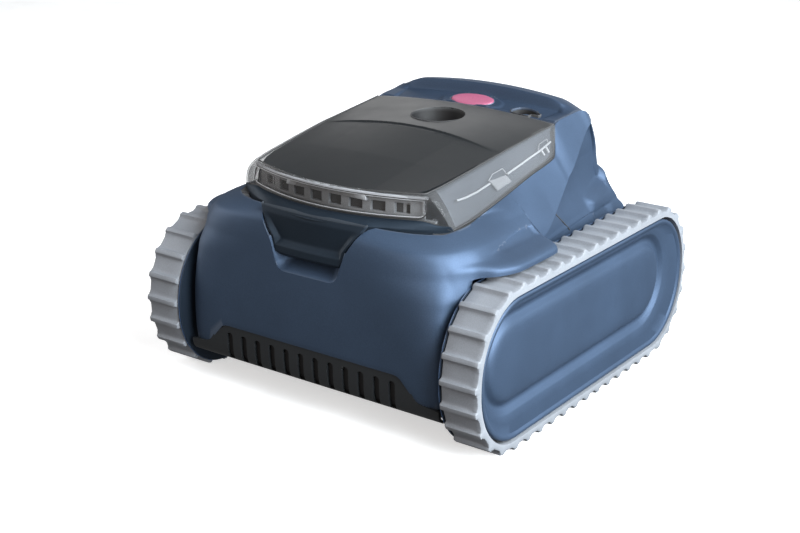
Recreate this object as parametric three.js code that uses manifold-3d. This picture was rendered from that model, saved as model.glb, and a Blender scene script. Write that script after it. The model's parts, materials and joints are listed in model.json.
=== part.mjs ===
// Tracked robotic pool cleaner, in millimetres. +Z is up, -Y is the front, +X is the right-hand side
// seen from the front. The origin is on the ground under the middle of the machine.
import * as THREE from "three";
import { mergeVertices } from "three/addons/utils/BufferGeometryUtils.js";
import Module from "manifold-3d";

const wasm = await Module();
wasm.setup();

// ---------------------------------------------------------------- driving dimensions
const GAP = 0.4; // between pieces that touch

const HALF_WIDTH = 200; // outer face of a track belt
const BELT_WIDTH = 39;
const LOOP = { halfLength: 208.4, halfHeight: 74.6, cornerY: 64, cornerZ: 72.2 }; // side cover line
const LUG_TIP = 8.25; // lug tips stand this far outside the side cover line
const BELT_LAND = 4.4;
const BELT_INNER = -2.5;
const LUG_COUNT = 44;
const AXLE_Z = LOOP.halfHeight + LUG_TIP;
const WHEEL_Y = 136;
const WHEEL_RADIUS = 69;
const ROLLER = { z: 36, radius: 23.5, axle: 3 }; // carries the lower run of the belt

const WALL = 3; // moulded shell thickness
const BODY_HALF_WIDTH = 153;
const CORNER_Y = -100; // the rounded nose starts here
const FENDER_REAR_Y = -47;
const FENDER_CLEARANCE = 5.2; // from the lug tips to the fender's outer face
const NOSE_CORNER = 0.6; // share of the nose outline that stands in front of the tracks
const NOSE_SHARE = 0.55; // share of half the front shell that goes round the nose
const FENDER_SHARE = 0.8; // share reached where the fender ends
const STEP_SHARE = 0.01; // share taken by the step behind the fender
const SHELL_SPLIT_Y = 113;
const SPLIT_GAP = 4; // between the front and rear shells along their crease
const RIM_RISE = 18.9; // the rear rim stands this far above the deck corners
const DECK_FRONT_Y = 69.5;

const OUTLET = { y: 19.5, radius: 28.3 };
const HINGE = { y: 66, z: 260.8, pinRadius: 1.5 };
const BUTTON = { y: 86, halfX: 25.7, halfY: 14.6, stands: 1.7 };
const PORT = { x: 66, y: 83, radius: 9 };

const SLOT = { count: 12, pitch: 18.15, width: 7.5, top: 65, bottom: 38 };
const SKIRT_BOTTOM = 33;
const PAN_Z = 34;
const PAN_HALF_WIDTH = 148.4;
const BRUSH = { y: 93.5, z: 25, radius: 21.5 };
const MOUTH = { halfX: 70, front: -64, rear: -40 }; // the suction mouth in the body's floor
const GEAR = { teeth: 32, pinionTeeth: 12, module: 2.5, from: 139, to: 147 };
const PINION_Y = -WHEEL_Y + ((GEAR.teeth + GEAR.pinionTeeth) * GEAR.module) / 2 + 0.4;
const BASKET = { halfX: 95, front: -150, rear: -38, floor: 58, top: 203 };
const RIM = { low: 203.4, high: 226, halfX: 97, openings: 12, pitch: 15.6 };
const DRY_BOX = { halfX: 88, front: -24, rear: 120, floor: 55, top: 190 };

// ---------------------------------------------------------------- materials
const material = (color, roughness, metalness = 0, opacity = 1) =>
  new THREE.MeshStandardMaterial({ color, roughness, metalness, opacity, transparent: opacity < 1 });
const NAVY = material(0x27405f, 0.35, 0.3);
const BLACK = material(0x1a1c1f, 0.55);
const CHARCOAL = material(0x34383c, 0.4);
const SMOKE = material(0x9aa0a6, 0.1, 0, 0.4);
const RUBBER = material(0x9da1aa, 0.7);
const GREY = material(0x8d9298, 0.5);
const STEEL = material(0xb9bcc0, 0.3, 1);
const PINK = material(0xb4566c, 0.5);
const WHITE = material(0xd8dadc, 0.6);
const GREEN = material(0x1f5a38, 0.6);
const DECK = material(0x3c4b61, 0.45, 0.2);

// ---------------------------------------------------------------- geometry helpers
const vec = (x, y, z) => new THREE.Vector3(x, y, z);
const lerp = THREE.MathUtils.lerp;
const squared = (x) => (x / 100) ** 2;

/** Straight-line interpolation through [input, output] pairs. */
function along(pairs, at) {
  const last = pairs.length - 1;
  if (at <= pairs[0][0]) return pairs[0][1];
  if (at >= pairs[last][0]) return pairs[last][1];
  const i = pairs.findIndex(([input]) => input >= at);
  const [x0, y0] = pairs[i - 1];
  const [x1, y1] = pairs[i];
  return lerp(y0, y1, (at - x0) / (x1 - x0));
}

/** A manifold solid from a closed three.js geometry. */
function solid(geometry) {
  const bare = geometry.clone();
  bare.deleteAttribute("normal");
  bare.deleteAttribute("uv");
  const merged = mergeVertices(bare, 1e-4);
  const triVerts = new Uint32Array(merged.index.array);
  const vertProperties = new Float32Array(merged.attributes.position.array);
  return new wasm.Manifold(new wasm.Mesh({ numProp: 3, vertProperties, triVerts }));
}

/** A three.js geometry from a manifold solid. */
function toGeometry(shape) {
  const { vertProperties, triVerts } = shape.getMesh();
  const geometry = new THREE.BufferGeometry();
  geometry.setAttribute("position", new THREE.BufferAttribute(vertProperties, 3));
  geometry.setIndex(new THREE.BufferAttribute(triVerts, 1));
  geometry.computeVertexNormals();
  return geometry;
}

const model = new THREE.Group();

/** Adds one named piece to the machine. */
function piece(name, shape, finish) {
  const mesh = new THREE.Mesh(toGeometry(shape), finish);
  mesh.name = name;
  model.add(mesh);
}

function box(x0, x1, y0, y1, z0, z1) {
  const geometry = new THREE.BoxGeometry(x1 - x0, y1 - y0, z1 - z0);
  return solid(geometry.translate((x0 + x1) / 2, (y0 + y1) / 2, (z0 + z1) / 2));
}

const extrude = (outline, depth) =>
  new THREE.ExtrudeGeometry(new THREE.Shape(outline), { depth, bevelEnabled: false, curveSegments: 8 });

/** Outline of [y, z] points swept along X. */
function prismX(outline, x0, x1) {
  const points = outline.map(([y, z]) => new THREE.Vector2(y, z));
  const turn = new THREE.Matrix4().makeBasis(vec(0, 1, 0), vec(0, 0, 1), vec(1, 0, 0));
  return solid(extrude(points, x1 - x0).applyMatrix4(turn).translate(x0, 0, 0));
}

/** Outline of [x, z] points swept along Y. */
function prismY(outline, y0, y1) {
  const points = outline.map(([x, z]) => new THREE.Vector2(x, z));
  const turn = new THREE.Matrix4().makeBasis(vec(1, 0, 0), vec(0, 0, 1), vec(0, -1, 0));
  return solid(extrude(points, y1 - y0).applyMatrix4(turn).translate(0, y1, 0));
}

/** Outline of [x, y] points swept along Z. */
function prismZ(outline, z0, z1) {
  const points = outline.map(([x, y]) => new THREE.Vector2(x, y));
  return solid(extrude(points, z1 - z0).translate(0, 0, z0));
}

/** A disc or tube about an axis parallel to X. */
function roundX(y, z, radius, x0, x1, segments = 24) {
  const geometry = new THREE.CylinderGeometry(radius, radius, x1 - x0, segments);
  return solid(geometry.rotateZ(Math.PI / 2).translate((x0 + x1) / 2, y, z));
}

/** A disc or tube about an axis parallel to Z. */
function roundZ(x, y, radius, z0, z1, segments = 32) {
  const geometry = new THREE.CylinderGeometry(radius, radius, z1 - z0, segments);
  return solid(geometry.rotateX(Math.PI / 2).translate(x, y, (z0 + z1) / 2));
}

/** A turned piece about X: profile of [radius, x] points. */
function turnedX(profile, y, z, segments) {
  const points = profile.map(([radius, x]) => new THREE.Vector2(radius, x));
  const geometry = new THREE.LatheGeometry([...points, points[0].clone()], segments);
  return solid(geometry.rotateZ(-Math.PI / 2).translate(0, y, z));
}

/**
 * A curved wall: surface(u, v) is its outer face for u and v from 0 to 1, and the inner face lies
 * `thickness` behind it. Seen from outside, u runs to the right and v upwards.
 */
function wall(surface, columns, rows, thickness) {
  const even = (count) => Array.from({ length: count + 1 }, (_, i) => i / count);
  const us = Array.isArray(columns) ? columns : even(columns);
  const vs = even(rows);
  const grid = us.map((u) => vs.map((v) => surface(u, v)));
  const width = us.length;
  const height = vs.length;
  const positions = [];
  const within = (k, count) => Math.min(Math.max(k, 0), count - 1);
  const clampAt = (i, j) => grid[within(i, width)][within(j, height)];
  for (const offset of [0, thickness]) {
    for (let i = 0; i < width; i += 1) {
      for (let j = 0; j < height; j += 1) {
        const across = clampAt(i + 1, j).clone().sub(clampAt(i - 1, j));
        const upward = clampAt(i, j + 1).clone().sub(clampAt(i, j - 1));
        const normal = across.cross(upward).normalize();
        const point = grid[i][j].clone().addScaledVector(normal, -offset);
        positions.push(point.x, point.y, point.z);
      }
    }
  }
  const outer = (i, j) => i * height + j;
  const inner = (i, j) => width * height + i * height + j;
  const index = [];
  const quad = (a, b, c, d) => index.push(a, b, c, a, c, d);
  for (let i = 0; i + 1 < width; i += 1) {
    for (let j = 0; j + 1 < height; j += 1) {
      quad(outer(i, j), outer(i + 1, j), outer(i + 1, j + 1), outer(i, j + 1));
      quad(inner(i, j), inner(i, j + 1), inner(i + 1, j + 1), inner(i + 1, j));
    }
    quad(outer(i, 0), inner(i, 0), inner(i + 1, 0), outer(i + 1, 0));
    quad(outer(i, height - 1), outer(i + 1, height - 1), inner(i + 1, height - 1), inner(i, height - 1));
  }
  for (let j = 0; j + 1 < height; j += 1) {
    quad(outer(0, j), outer(0, j + 1), inner(0, j + 1), inner(0, j));
    quad(outer(width - 1, j), inner(width - 1, j), inner(width - 1, j + 1), outer(width - 1, j + 1));
  }
  const geometry = new THREE.BufferGeometry();
  geometry.setAttribute("position", new THREE.Float32BufferAttribute(positions, 3));
  geometry.setIndex(index);
  return solid(geometry);
}

// ---------------------------------------------------------------- the lines that the shells share
/** Height of the shell's upper edge where it meets the lid or the deck, along the side. */
const SIDE_TOP_Z = [[-146, 199.5], [-112, 202], [-60, 210.6], [-5, 221.8], [44, 230.5], [52, 236],
  [67, 257], [SHELL_SPLIT_Y, 262]];
const SIDE_TOP_X = [[-146, 124], [-112, 126], [44, 126], [52, 121], [67, 110], [SHELL_SPLIT_Y, 112]];
const FENDER_FLARE = [[-178, 0], [-160, 6], [-144, 23], [-117, 30], [-70, 30], [FENDER_REAR_Y, 27],
  [FENDER_REAR_Y + 1, 0]];
const sideTopZ = (y) => along(SIDE_TOP_Z, y);
const sideTopX = (y) => along(SIDE_TOP_X, y);
const fenderFlare = (y) => along(FENDER_FLARE, y);
const lidEdgeY = (x) => -199 + 34.7 * squared(x);
const panelEdgeX = (y) => 107.9 + (1.68 * y) / 100;
const PANEL_CENTRE_Z = [[-176, 231.5], [-100, 247.5], [-32, 260.2], [OUTLET.y, 262.7], [66, 264.8]];
const panelCentreZ = (y) => along(PANEL_CENTRE_Z, y);
const panelCrown = (y) => along([[-176, 1.1], [-100, 6], [-32, 9], [66, 5]], y);
const panelZ = (x, y) => panelCentreZ(y) - panelCrown(y) * squared(x);
const deckZ = (x, y) => 263.3 - 5.5 * squared(x) + 0.17 * (y - DECK_FRONT_Y);

// ---------------------------------------------------------------- outer shells
/** Height of the lug tips over the belt's upper side at y, or the axle height past its end. */
function beltTopZ(y) {
  const past = Math.max(Math.abs(y) - (LOOP.halfLength - LOOP.cornerY), 0) / (LOOP.cornerY + LUG_TIP);
  const round = Math.sqrt(Math.max(1 - past ** 2, 0));
  return AXLE_Z + LOOP.halfHeight - LOOP.cornerZ + (LOOP.cornerZ + LUG_TIP) * round;
}

/** Half-outline of the nose at height z: [x, y] at a turn from 0 (front centre) to 1 (side). */
function nosePoint(turn, z, halfWidth) {
  const power = along([[90, 18], [150, 7.5], [168, 5], [189, 4], [197, 2.8], [203, 2]], z);
  const depth = along([[150, 103], [175, 102.5], [189, 101], [203, 98.5]], z);
  const angle = (turn * Math.PI) / 2;
  return [
    halfWidth * Math.sin(angle) ** (2 / power),
    CORNER_Y - depth * Math.cos(angle) ** (2 / power),
  ];
}

/** Lower edge of the front shell on the nose, as height against distance from the middle. */
const noseBottomZ = (x) => along([[104, 73], [119, 62], [129, 50], [154, 47]], x);

/** The front shell ends at a slanting crease; v is 0 at the belt and 1 at the deck. */
const creaseY = (v) => lerp(-44, SHELL_SPLIT_Y, v);

/** How far back the front shell's side has run at a reach past the nose. */
function sideRunY(reach, v) {
  if (reach <= FENDER_SHARE) {
    return lerp(CORNER_Y, FENDER_REAR_Y, (reach - NOSE_SHARE) / (FENDER_SHARE - NOSE_SHARE));
  }
  const behind = (reach - FENDER_SHARE - STEP_SHARE) / (1 - FENDER_SHARE - STEP_SHARE);
  return lerp(FENDER_REAR_Y + 1, creaseY(v), behind);
}

/**
 * Places of the front shell's columns, with one on each side of the step behind the fender. Behind
 * it the columns stand where the upper edge turns up round the lid's rear corner.
 */
function frontShellColumns() {
  const noseColumns = 10;
  const reaches = Array.from({ length: noseColumns + 1 }, (_, i) => (NOSE_SHARE * i) / noseColumns);
  reaches.push(0.64, 0.72, FENDER_SHARE);
  for (const share of [0, 0.28, 0.566, 0.616, 0.71, 1]) {
    reaches.push(lerp(FENDER_SHARE + STEP_SHARE, 1, share));
  }
  const right = reaches.map((reach) => 0.5 + reach / 2);
  const left = right.slice(1).reverse().map((place) => 1 - place);
  return [...left, ...right];
}

/** Outer face of the front shell: u runs from the left rear round the nose to the right rear. */
function frontShellFace(u, v) {
  const side = u < 0.5 ? -1 : 1;
  const reach = Math.abs(u - 0.5) * 2; // 0 at the nose centre, 1 at the rear
  const flareShare = (z) => along([[172, 1], [180, 0.45], [190, 0.1], [197, 0]], z);
  if (reach <= NOSE_SHARE) {
    const turn = reach / NOSE_SHARE;
    const [edgeX, edgeY] = nosePoint(turn, 150, 157);
    const archZ = Math.max(beltTopZ(edgeY) + FENDER_CLEARANCE, 142);
    const bottom = turn < NOSE_CORNER ? noseBottomZ(edgeX) : archZ;
    const topZ = along([[0, 203], [0.8, 200], [1, 203.5]], turn);
    const z = lerp(bottom, topZ, v);
    const widths = [[140, 155], [150, 157], [172, 157], [180, 155], [189, 151], [197, 140], [203, 127]];
    const [x, y] = nosePoint(turn, z, along(widths, z));
    return vec(side * (x + fenderFlare(y) * flareShare(z)), y, z);
  }
  const y = sideRunY(reach, v);
  const bottom = along([[CORNER_Y, 170.1], [FENDER_REAR_Y, 172], [FENDER_REAR_Y + 2, 166]], y);
  const z = lerp(bottom, sideTopZ(y), v);
  const bulge = along([[CORNER_Y, 3], [0, 1.6], [SHELL_SPLIT_Y, 1.2]], y);
  const x = sideTopX(y) + (157 - sideTopX(y)) * (1 - v ** bulge);
  return vec(side * (x + fenderFlare(y) * flareShare(z)), y, z);
}

/** Outer face of the rear shell: u runs from the right side round the back to the left side. */
function rearShellFace(u, v) {
  const side = u < 0.5 ? 1 : -1;
  const reach = 1 - Math.abs(u - 0.5) * 2; // 0 at the split, 1 at the back centre
  const lowerShare = 0.45;
  const crease = frontShellFace(1, Math.max(v - lowerShare, 0) / (1 - lowerShare));
  const start = v < lowerShare ? vec(BODY_HALF_WIDTH, -40, lerp(47, 164, v / lowerShare)) : crease;
  const z = start.z;
  const startY = start.y + SPLIT_GAP;
  const startX = Math.min(start.x - 0.6, BODY_HALF_WIDTH);
  const back = along([[47, 192], [110, 190], [150, 177], [195, 157], [240, 138], [262, 124]], z);
  const cornerX = startX - along([[47, 0], [150, 8], [195, 24], [240, 8], [262, 0]], z);
  const shoulder = 0.5;
  const cornerY = Math.max(back - along([[47, 22], [262, 8]], z), startY + 2);
  if (reach <= shoulder) {
    const t = reach / shoulder;
    return vec(side * lerp(startX, cornerX, t), lerp(startY, cornerY, t), z);
  }
  const turn = ((reach - shoulder) / (1 - shoulder)) * (Math.PI / 2);
  const x = cornerX * Math.cos(turn) ** 0.5;
  const y = cornerY + (back - cornerY) * Math.sin(turn) ** 0.5;
  const arch = Math.max(noseBottomZ(x) - 47, 0) * Math.max(1 - v / lowerShare, 0);
  const rim = RIM_RISE * Math.max(v - 0.8, 0) * 5 * (1 - squared(x) / squared(cornerX));
  return vec(side * x, y, z + arch + rim);
}

/** The handle's finger recess and the notch for its tab, cut out of the nose. */
function handleNotch() {
  const tab = prismY([[-50, 174], [50, 174], [66, 210], [-66, 210]], -215, -160);
  const recess = prismY([[-38, 146], [38, 146], [44, 160], [51, 176], [-51, 176], [-44, 160]], -215, -190);
  return tab.add(recess);
}

function frontShell() {
  const shell = wall(frontShellFace, frontShellColumns(), 6, WALL);
  piece("main_shell", shell.subtract(handleNotch()), NAVY);
  const cup = [[-199, 145.5], [-183, 149], [-183, 196], [-185, 196], [-185.5, 151], [-199, 148]];
  piece("handle_cup", prismX(cup, -44, 44), NAVY);
}

function rearShell() {
  piece("rear_shell", wall(rearShellFace, 20, 8, WALL), NAVY);
}

// ---------------------------------------------------------------- deck, button and charging port
const oval = (halfX, halfY, z0, z1) =>
  roundZ(0, 0, 1, z0, z1, 20).scale([halfX, halfY, 1]).translate([0, BUTTON.y, 0]);

function topDeck() {
  const face = (u, v) => {
    const x = lerp(-106, 106, u);
    const y = lerp(DECK_FRONT_Y, 112, v);
    return vec(x, y, deckZ(x, y));
  };
  const opening = oval(BUTTON.halfX + GAP, BUTTON.halfY + GAP, 240, 300);
  const socket = roundZ(PORT.x, PORT.y, PORT.radius + GAP, 240, 300, 20);
  piece("top_deck", wall(face, 10, 2, WALL).subtract(opening).subtract(socket), DECK);
  const buttonTop = (y) => [y, deckZ(0, y) + BUTTON.stands];
  const slope = prismX([[60, 262], [110, 262], buttonTop(110), buttonTop(60)], -40, 40);
  piece("power_button", oval(BUTTON.halfX, BUTTON.halfY, 262, 280).intersect(slope), PINK);
  const seal = oval(BUTTON.halfX + 3, BUTTON.halfY + 3, 254, 256.5);
  piece("button_seal", seal.subtract(oval(20, 10, 250, 260)), BLACK);
  const spring = roundZ(0, BUTTON.y, 5, 257, 261.6, 12).subtract(roundZ(0, BUTTON.y, 3.6, 250, 270, 12));
  piece("button_spring", spring, STEEL);
  const rod = (x, radius, z0, z1, segments) => roundZ(PORT.x + x, PORT.y, radius, z0, z1, segments);
  const cup = rod(0, PORT.radius, 246, 262, 20).subtract(rod(0, PORT.radius - 2, 250, 280, 20));
  piece("charge_port", cup.add(rod(-2.6, 1.1, 249.5, 256, 8)).add(rod(2.6, 1.1, 249.5, 256, 8)), BLACK);
}

// ---------------------------------------------------------------- skirts and chassis
/** A slotted skirt panel: sign is -1 for the front and 1 for the back. */
function skirt(name, sign, faceY) {
  const rightHalf = [[152, SKIRT_BOTTOM], [152, 46.4], [130, 49.4], [119.5, 61.4], [104.5, 72.4]];
  const leftHalf = rightHalf.map(([x, z]) => [-x, z]).reverse();
  const arch = [...rightHalf, ...leftHalf];
  let panel = prismY(arch, faceY - 2, faceY + 2);
  const back = faceY - sign * 11;
  const lip = [[faceY, SKIRT_BOTTOM], [faceY + sign * 2, SKIRT_BOTTOM + 3], [back, SKIRT_BOTTOM + 1],
    [back, SKIRT_BOTTOM - 2]];
  panel = panel.add(prismX(sign < 0 ? lip : lip.reverse(), -149, 149));
  for (let i = 0; i < SLOT.count; i += 1) {
    const x = (i - (SLOT.count - 1) / 2) * SLOT.pitch;
    const [x0, x1] = [x - SLOT.width / 2, x + SLOT.width / 2];
    panel = panel.subtract(box(x0, x1, faceY - 9, faceY + 9, SLOT.bottom, SLOT.top));
  }
  piece(name, panel, BLACK);
}

/** The floor of the body, with an arched pocket over each brush and the suction mouth. */
function chassisPan() {
  const pocket = BRUSH.radius + 4;
  const steps = 8;
  const arcs = (centre, radius) => {
    const points = [];
    for (let i = 0; i <= steps; i += 1) {
      const angle = Math.PI * (0.89 - (0.78 * i) / steps);
      points.push([centre + radius * Math.cos(angle), BRUSH.z + radius * Math.sin(angle)]);
    }
    return points;
  };
  const lower = [[-185, PAN_Z], ...arcs(-BRUSH.y, pocket), ...arcs(BRUSH.y, pocket), [173, PAN_Z]];
  const upperArcs = [...arcs(-BRUSH.y, pocket + WALL), ...arcs(BRUSH.y, pocket + WALL)];
  const upper = [[-185, PAN_Z + WALL], ...upperArcs, [173, PAN_Z + WALL]];
  const outline = [...lower, ...upper.reverse()];
  const sheet = prismX(outline.reverse(), -PAN_HALF_WIDTH, PAN_HALF_WIDTH);
  let pan = sheet.subtract(box(-MOUTH.halfX, MOUTH.halfX, MOUTH.front, MOUTH.rear, 20, 50));
  for (const side of [-1, 1]) {
    for (const y of [-BRUSH.y, BRUSH.y]) {
      const [c0, c1] = across(side, 143.4, 148.4);
      const cheek = box(c0, c1, y - 9, y + 9, 16, 49);
      pan = pan.add(cheek.subtract(roundX(y, BRUSH.z, 4.4, -160, 160, 16)));
    }
  }
  piece("chassis_pan", pan, BLACK);
  const nozzle = (inset, low, high) =>
    box(-MOUTH.halfX + inset, MOUTH.halfX - inset, MOUTH.front + inset, MOUTH.rear - inset, low, high);
  piece("suction_nozzle", nozzle(GAP, 12, BASKET.floor - GAP).subtract(nozzle(GAP + 2, 5, 70)), BLACK);
}

function brushRollers() {
  for (const [name, y] of [["front", -BRUSH.y], ["rear", BRUSH.y]]) {
    const profile = [];
    const vanes = 8;
    for (let i = 0; i < vanes; i += 1) {
      const step = (Math.PI * 2) / vanes;
      const vane = [[0, 15], [0.42, 15], [0.46, BRUSH.radius], [0.96, BRUSH.radius]];
      for (const [share, radius] of vane) {
        const angle = (i + share) * step;
        profile.push([y + radius * Math.cos(angle), BRUSH.z + radius * Math.sin(angle)]);
      }
    }
    const sleeve = prismX(profile, -142, 142).subtract(roundX(y, BRUSH.z, 9.4, -150, 150, 24));
    piece(`brush_sleeve_${name}`, sleeve, NAVY);
    const core = roundX(y, BRUSH.z, 9, -142.8, 142.8, 24).add(roundX(y, BRUSH.z, 4, -148.8, 148.8, 16));
    piece(`brush_core_${name}`, core, GREY);
  }
}

// ---------------------------------------------------------------- tracks
/** A point of the belt loop moved out by `offset`, as [y, z], for a turn from 0 to 1. */
function loopOutline(offset, cornerSteps = 12) {
  const points = [];
  const reachY = LOOP.halfLength + offset;
  const reachZ = LOOP.halfHeight + offset;
  const radiusY = LOOP.cornerY + offset;
  const radiusZ = LOOP.cornerZ + offset;
  for (let quarter = 0; quarter < 4; quarter += 1) {
    const signY = quarter === 0 || quarter === 3 ? 1 : -1;
    const signZ = quarter < 2 ? 1 : -1;
    for (let i = 0; i <= cornerSteps; i += 1) {
      const angle = (quarter + i / cornerSteps) * (Math.PI / 2);
      points.push([
        signY * (reachY - radiusY) + radiusY * Math.cos(angle),
        AXLE_Z + signZ * (reachZ - radiusZ) + radiusZ * Math.sin(angle),
      ]);
    }
  }
  return points;
}

/** The loop walked at even distance: [point, outward normal] at each share from 0 to 1. */
function loopWalker(offset) {
  const points = loopOutline(offset, 24);
  const lengths = [0];
  points.forEach(([y, z], i) => {
    const [nextY, nextZ] = points[(i + 1) % points.length];
    lengths.push(lengths[i] + Math.hypot(nextY - y, nextZ - z));
  });
  const total = lengths[lengths.length - 1];
  return (share) => {
    const at = (((share % 1) + 1) % 1) * total;
    const i = Math.max(lengths.findIndex((length) => length > at) - 1, 0);
    const [y0, z0] = points[i];
    const [y1, z1] = points[(i + 1) % points.length];
    const t = (at - lengths[i]) / (lengths[i + 1] - lengths[i]);
    const long = Math.hypot(y1 - y0, z1 - z0);
    return { y: lerp(y0, y1, t), z: lerp(z0, z1, t), outY: (z1 - z0) / long, outZ: -(y1 - y0) / long };
  };
}

function beltOutline() {
  const walk = loopWalker(BELT_LAND);
  const height = LUG_TIP - BELT_LAND;
  const profile = [[0, 0], [0.28, 0], [0.4, 1], [0.62, 1]];
  const points = [];
  for (let i = 0; i < LUG_COUNT; i += 1) {
    for (const [share, raise] of profile) {
      const spot = walk((i + share) / LUG_COUNT);
      points.push([spot.y + spot.outY * raise * height, spot.z + spot.outZ * raise * height]);
    }
  }
  return points;
}

const across = (side, near, far) => [Math.min(side * near, side * far), Math.max(side * near, side * far)];

function trackBelt(side, suffix) {
  const [x0, x1] = across(side, HALF_WIDTH - BELT_WIDTH, HALF_WIDTH);
  const belt = prismX(beltOutline(), x0, x1).subtract(prismX(loopOutline(BELT_INNER, 8), x0 - 1, x1 + 1));
  piece(`track_belt_${suffix}`, belt, RUBBER);
}

function sideCover(side, suffix) {
  const [x0, x1] = across(side, 193, 198.5);
  const [g0, g1] = across(side, 196.5, 200);
  const plate = prismX(loopOutline(BELT_INNER - 0.8, 8), x0, x1);
  const groove = (grow) => {
    const corner = 46 + grow;
    const halfY = 172 + grow;
    const halfZ = 44 + grow;
    const points = [];
    for (let quarter = 0; quarter < 4; quarter += 1) {
      const signY = quarter === 0 || quarter === 3 ? 1 : -1;
      const signZ = quarter < 2 ? 1 : -1;
      for (let i = 0; i <= 4; i += 1) {
        const angle = (quarter + i / 4) * (Math.PI / 2);
        const radius = Math.min(corner, halfZ - 1);
        points.push([-6 + signY * (halfY - radius) + radius * Math.cos(angle),
          AXLE_Z + 6 + signZ * (halfZ - radius) + radius * Math.sin(angle)]);
      }
    }
    return points;
  };
  const channel = prismX(groove(5), g0, g1).subtract(prismX(groove(-3), g0 - 1, g1 + 1));
  piece(`side_cover_${suffix}`, plate.subtract(channel), NAVY);
}

function trackFrame(side, suffix) {
  const [x0, x1] = across(side, 156.6, 160.4);
  let frame = prismX(loopOutline(5, 6), x0, x1);
  frame = frame.subtract(roundX(-WHEEL_Y, AXLE_Z, 6.6, x0 - 1, x1 + 1, 20));
  for (const y of [-50, 0, 50]) {
    const [s0, s1] = across(side, 159, 192.6);
    frame = frame.add(roundX(y, AXLE_Z, 7, s0, s1, 12));
  }
  const [a0, a1] = across(side, 159, 187);
  frame = frame.add(roundX(WHEEL_Y, AXLE_Z, 5, a0, a1, 16));
  const [r0, r1] = across(side, 159, 184);
  frame = frame.add(roundX(0, ROLLER.z, ROLLER.axle, r0, r1, 12));
  piece(`track_frame_${suffix}`, frame, NAVY);
}

/** A rimmed wheel on the track loop, with a bore of the given radius. */
function trackWheel(name, side, y, bore) {
  const rim = WHEEL_RADIUS;
  const hubSide = [[13, 176], [13, 184], [bore, 184], [bore, 168]];
  const rimSide = [[rim - 6, 168], [rim - 6, 164], [rim, 164], [rim, 184], [rim - 6, 184], [rim - 6, 176]];
  const profile = [...hubSide, ...rimSide];
  const wheel = turnedX(profile, y, AXLE_Z, 24);
  piece(name, side > 0 ? wheel : wheel.mirror([1, 0, 0]), GREY);
}

function gearOutline(teeth, y, z, phase) {
  const pitchRadius = (teeth * GEAR.module) / 2;
  const root = pitchRadius - 1.25 * GEAR.module;
  const tip = pitchRadius + 0.95 * GEAR.module;
  const points = [];
  for (let i = 0; i < teeth; i += 1) {
    for (const [share, radius] of [[-0.3, root], [-0.12, tip], [0.12, tip], [0.3, root]]) {
      const angle = ((i + share + phase) / teeth) * Math.PI * 2;
      points.push([y + radius * Math.cos(angle), z + radius * Math.sin(angle)]);
    }
  }
  return points;
}

function driveTrain(side, suffix) {
  const y = -WHEEL_Y;
  trackWheel(`drive_wheel_${suffix}`, side, y, 5.4);
  trackWheel(`idler_wheel_${suffix}`, side, WHEEL_Y, 5.3);
  const [a0, a1] = across(side, 134, 187);
  piece(`drive_axle_${suffix}`, roundX(y, AXLE_Z, 5, a0, a1, 20), STEEL);
  const [g0, g1] = across(side, GEAR.from, GEAR.to);
  const gear = prismX(gearOutline(GEAR.teeth, y, AXLE_Z, 0), g0, g1);
  piece(`drive_gear_${suffix}`, gear.subtract(roundX(y, AXLE_Z, 5.4, g0 - 1, g1 + 1, 20)), WHITE);
  const pinion = prismX(gearOutline(GEAR.pinionTeeth, PINION_Y, AXLE_Z, 0.5), g0, g1);
  const pinionBore = roundX(PINION_Y, AXLE_Z, 2.4, g0 - 1, g1 + 1, 12);
  piece(`motor_pinion_${suffix}`, pinion.subtract(pinionBore), STEEL);
  const [m0, m1] = across(side, 101, 138);
  const [s0, s1] = across(side, 137, GEAR.to - 1);
  const motor = roundX(PINION_Y, AXLE_Z, 16, m0, m1, 20).add(roundX(PINION_Y, AXLE_Z, 2, s0, s1, 12));
  piece(`drive_motor_${suffix}`, motor, CHARCOAL);
  const [r0, r1] = across(side, 163, 183);
  const rollerBore = roundX(0, ROLLER.z, ROLLER.axle + 0.4, r0 - 1, r1 + 1, 16);
  piece(`mid_roller_${suffix}`, roundX(0, ROLLER.z, ROLLER.radius, r0, r1, 24).subtract(rollerBore), GREY);
}

// ---------------------------------------------------------------- lid
/** Lower and upper edges of the lid's clear band: u runs from the left rear round the front. */
function lidBandEdges(u) {
  const side = u < 0.5 ? -1 : 1;
  const reach = Math.abs(u - 0.5) * 2;
  const frontShare = 0.45;
  if (reach <= frontShare) {
    const t = reach / frontShare;
    const lowX = 122 * t;
    const highX = 101 * t;
    const lowZ = along([[0, 209], [103, 210], [122, 202.5]], lowX);
    const low = vec(side * lowX, -178.9 + 23.2 * squared(lowX), lowZ);
    const high = vec(side * highX, -178.6 + 24.1 * squared(highX), 232 - 1.1 * squared(highX));
    return [low, high];
  }
  const t = (reach - frontShare) / (1 - frontShare);
  const lowY = lerp(-136, 36, t);
  const highY = lerp(-140, 66, t);
  const low = vec(side * 123.8, lowY, sideTopZ(lowY) + 2);
  const highX = panelEdgeX(highY) + 4.8;
  return [low, vec(side * highX, highY, panelZ(panelEdgeX(highY), highY))];
}

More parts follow.
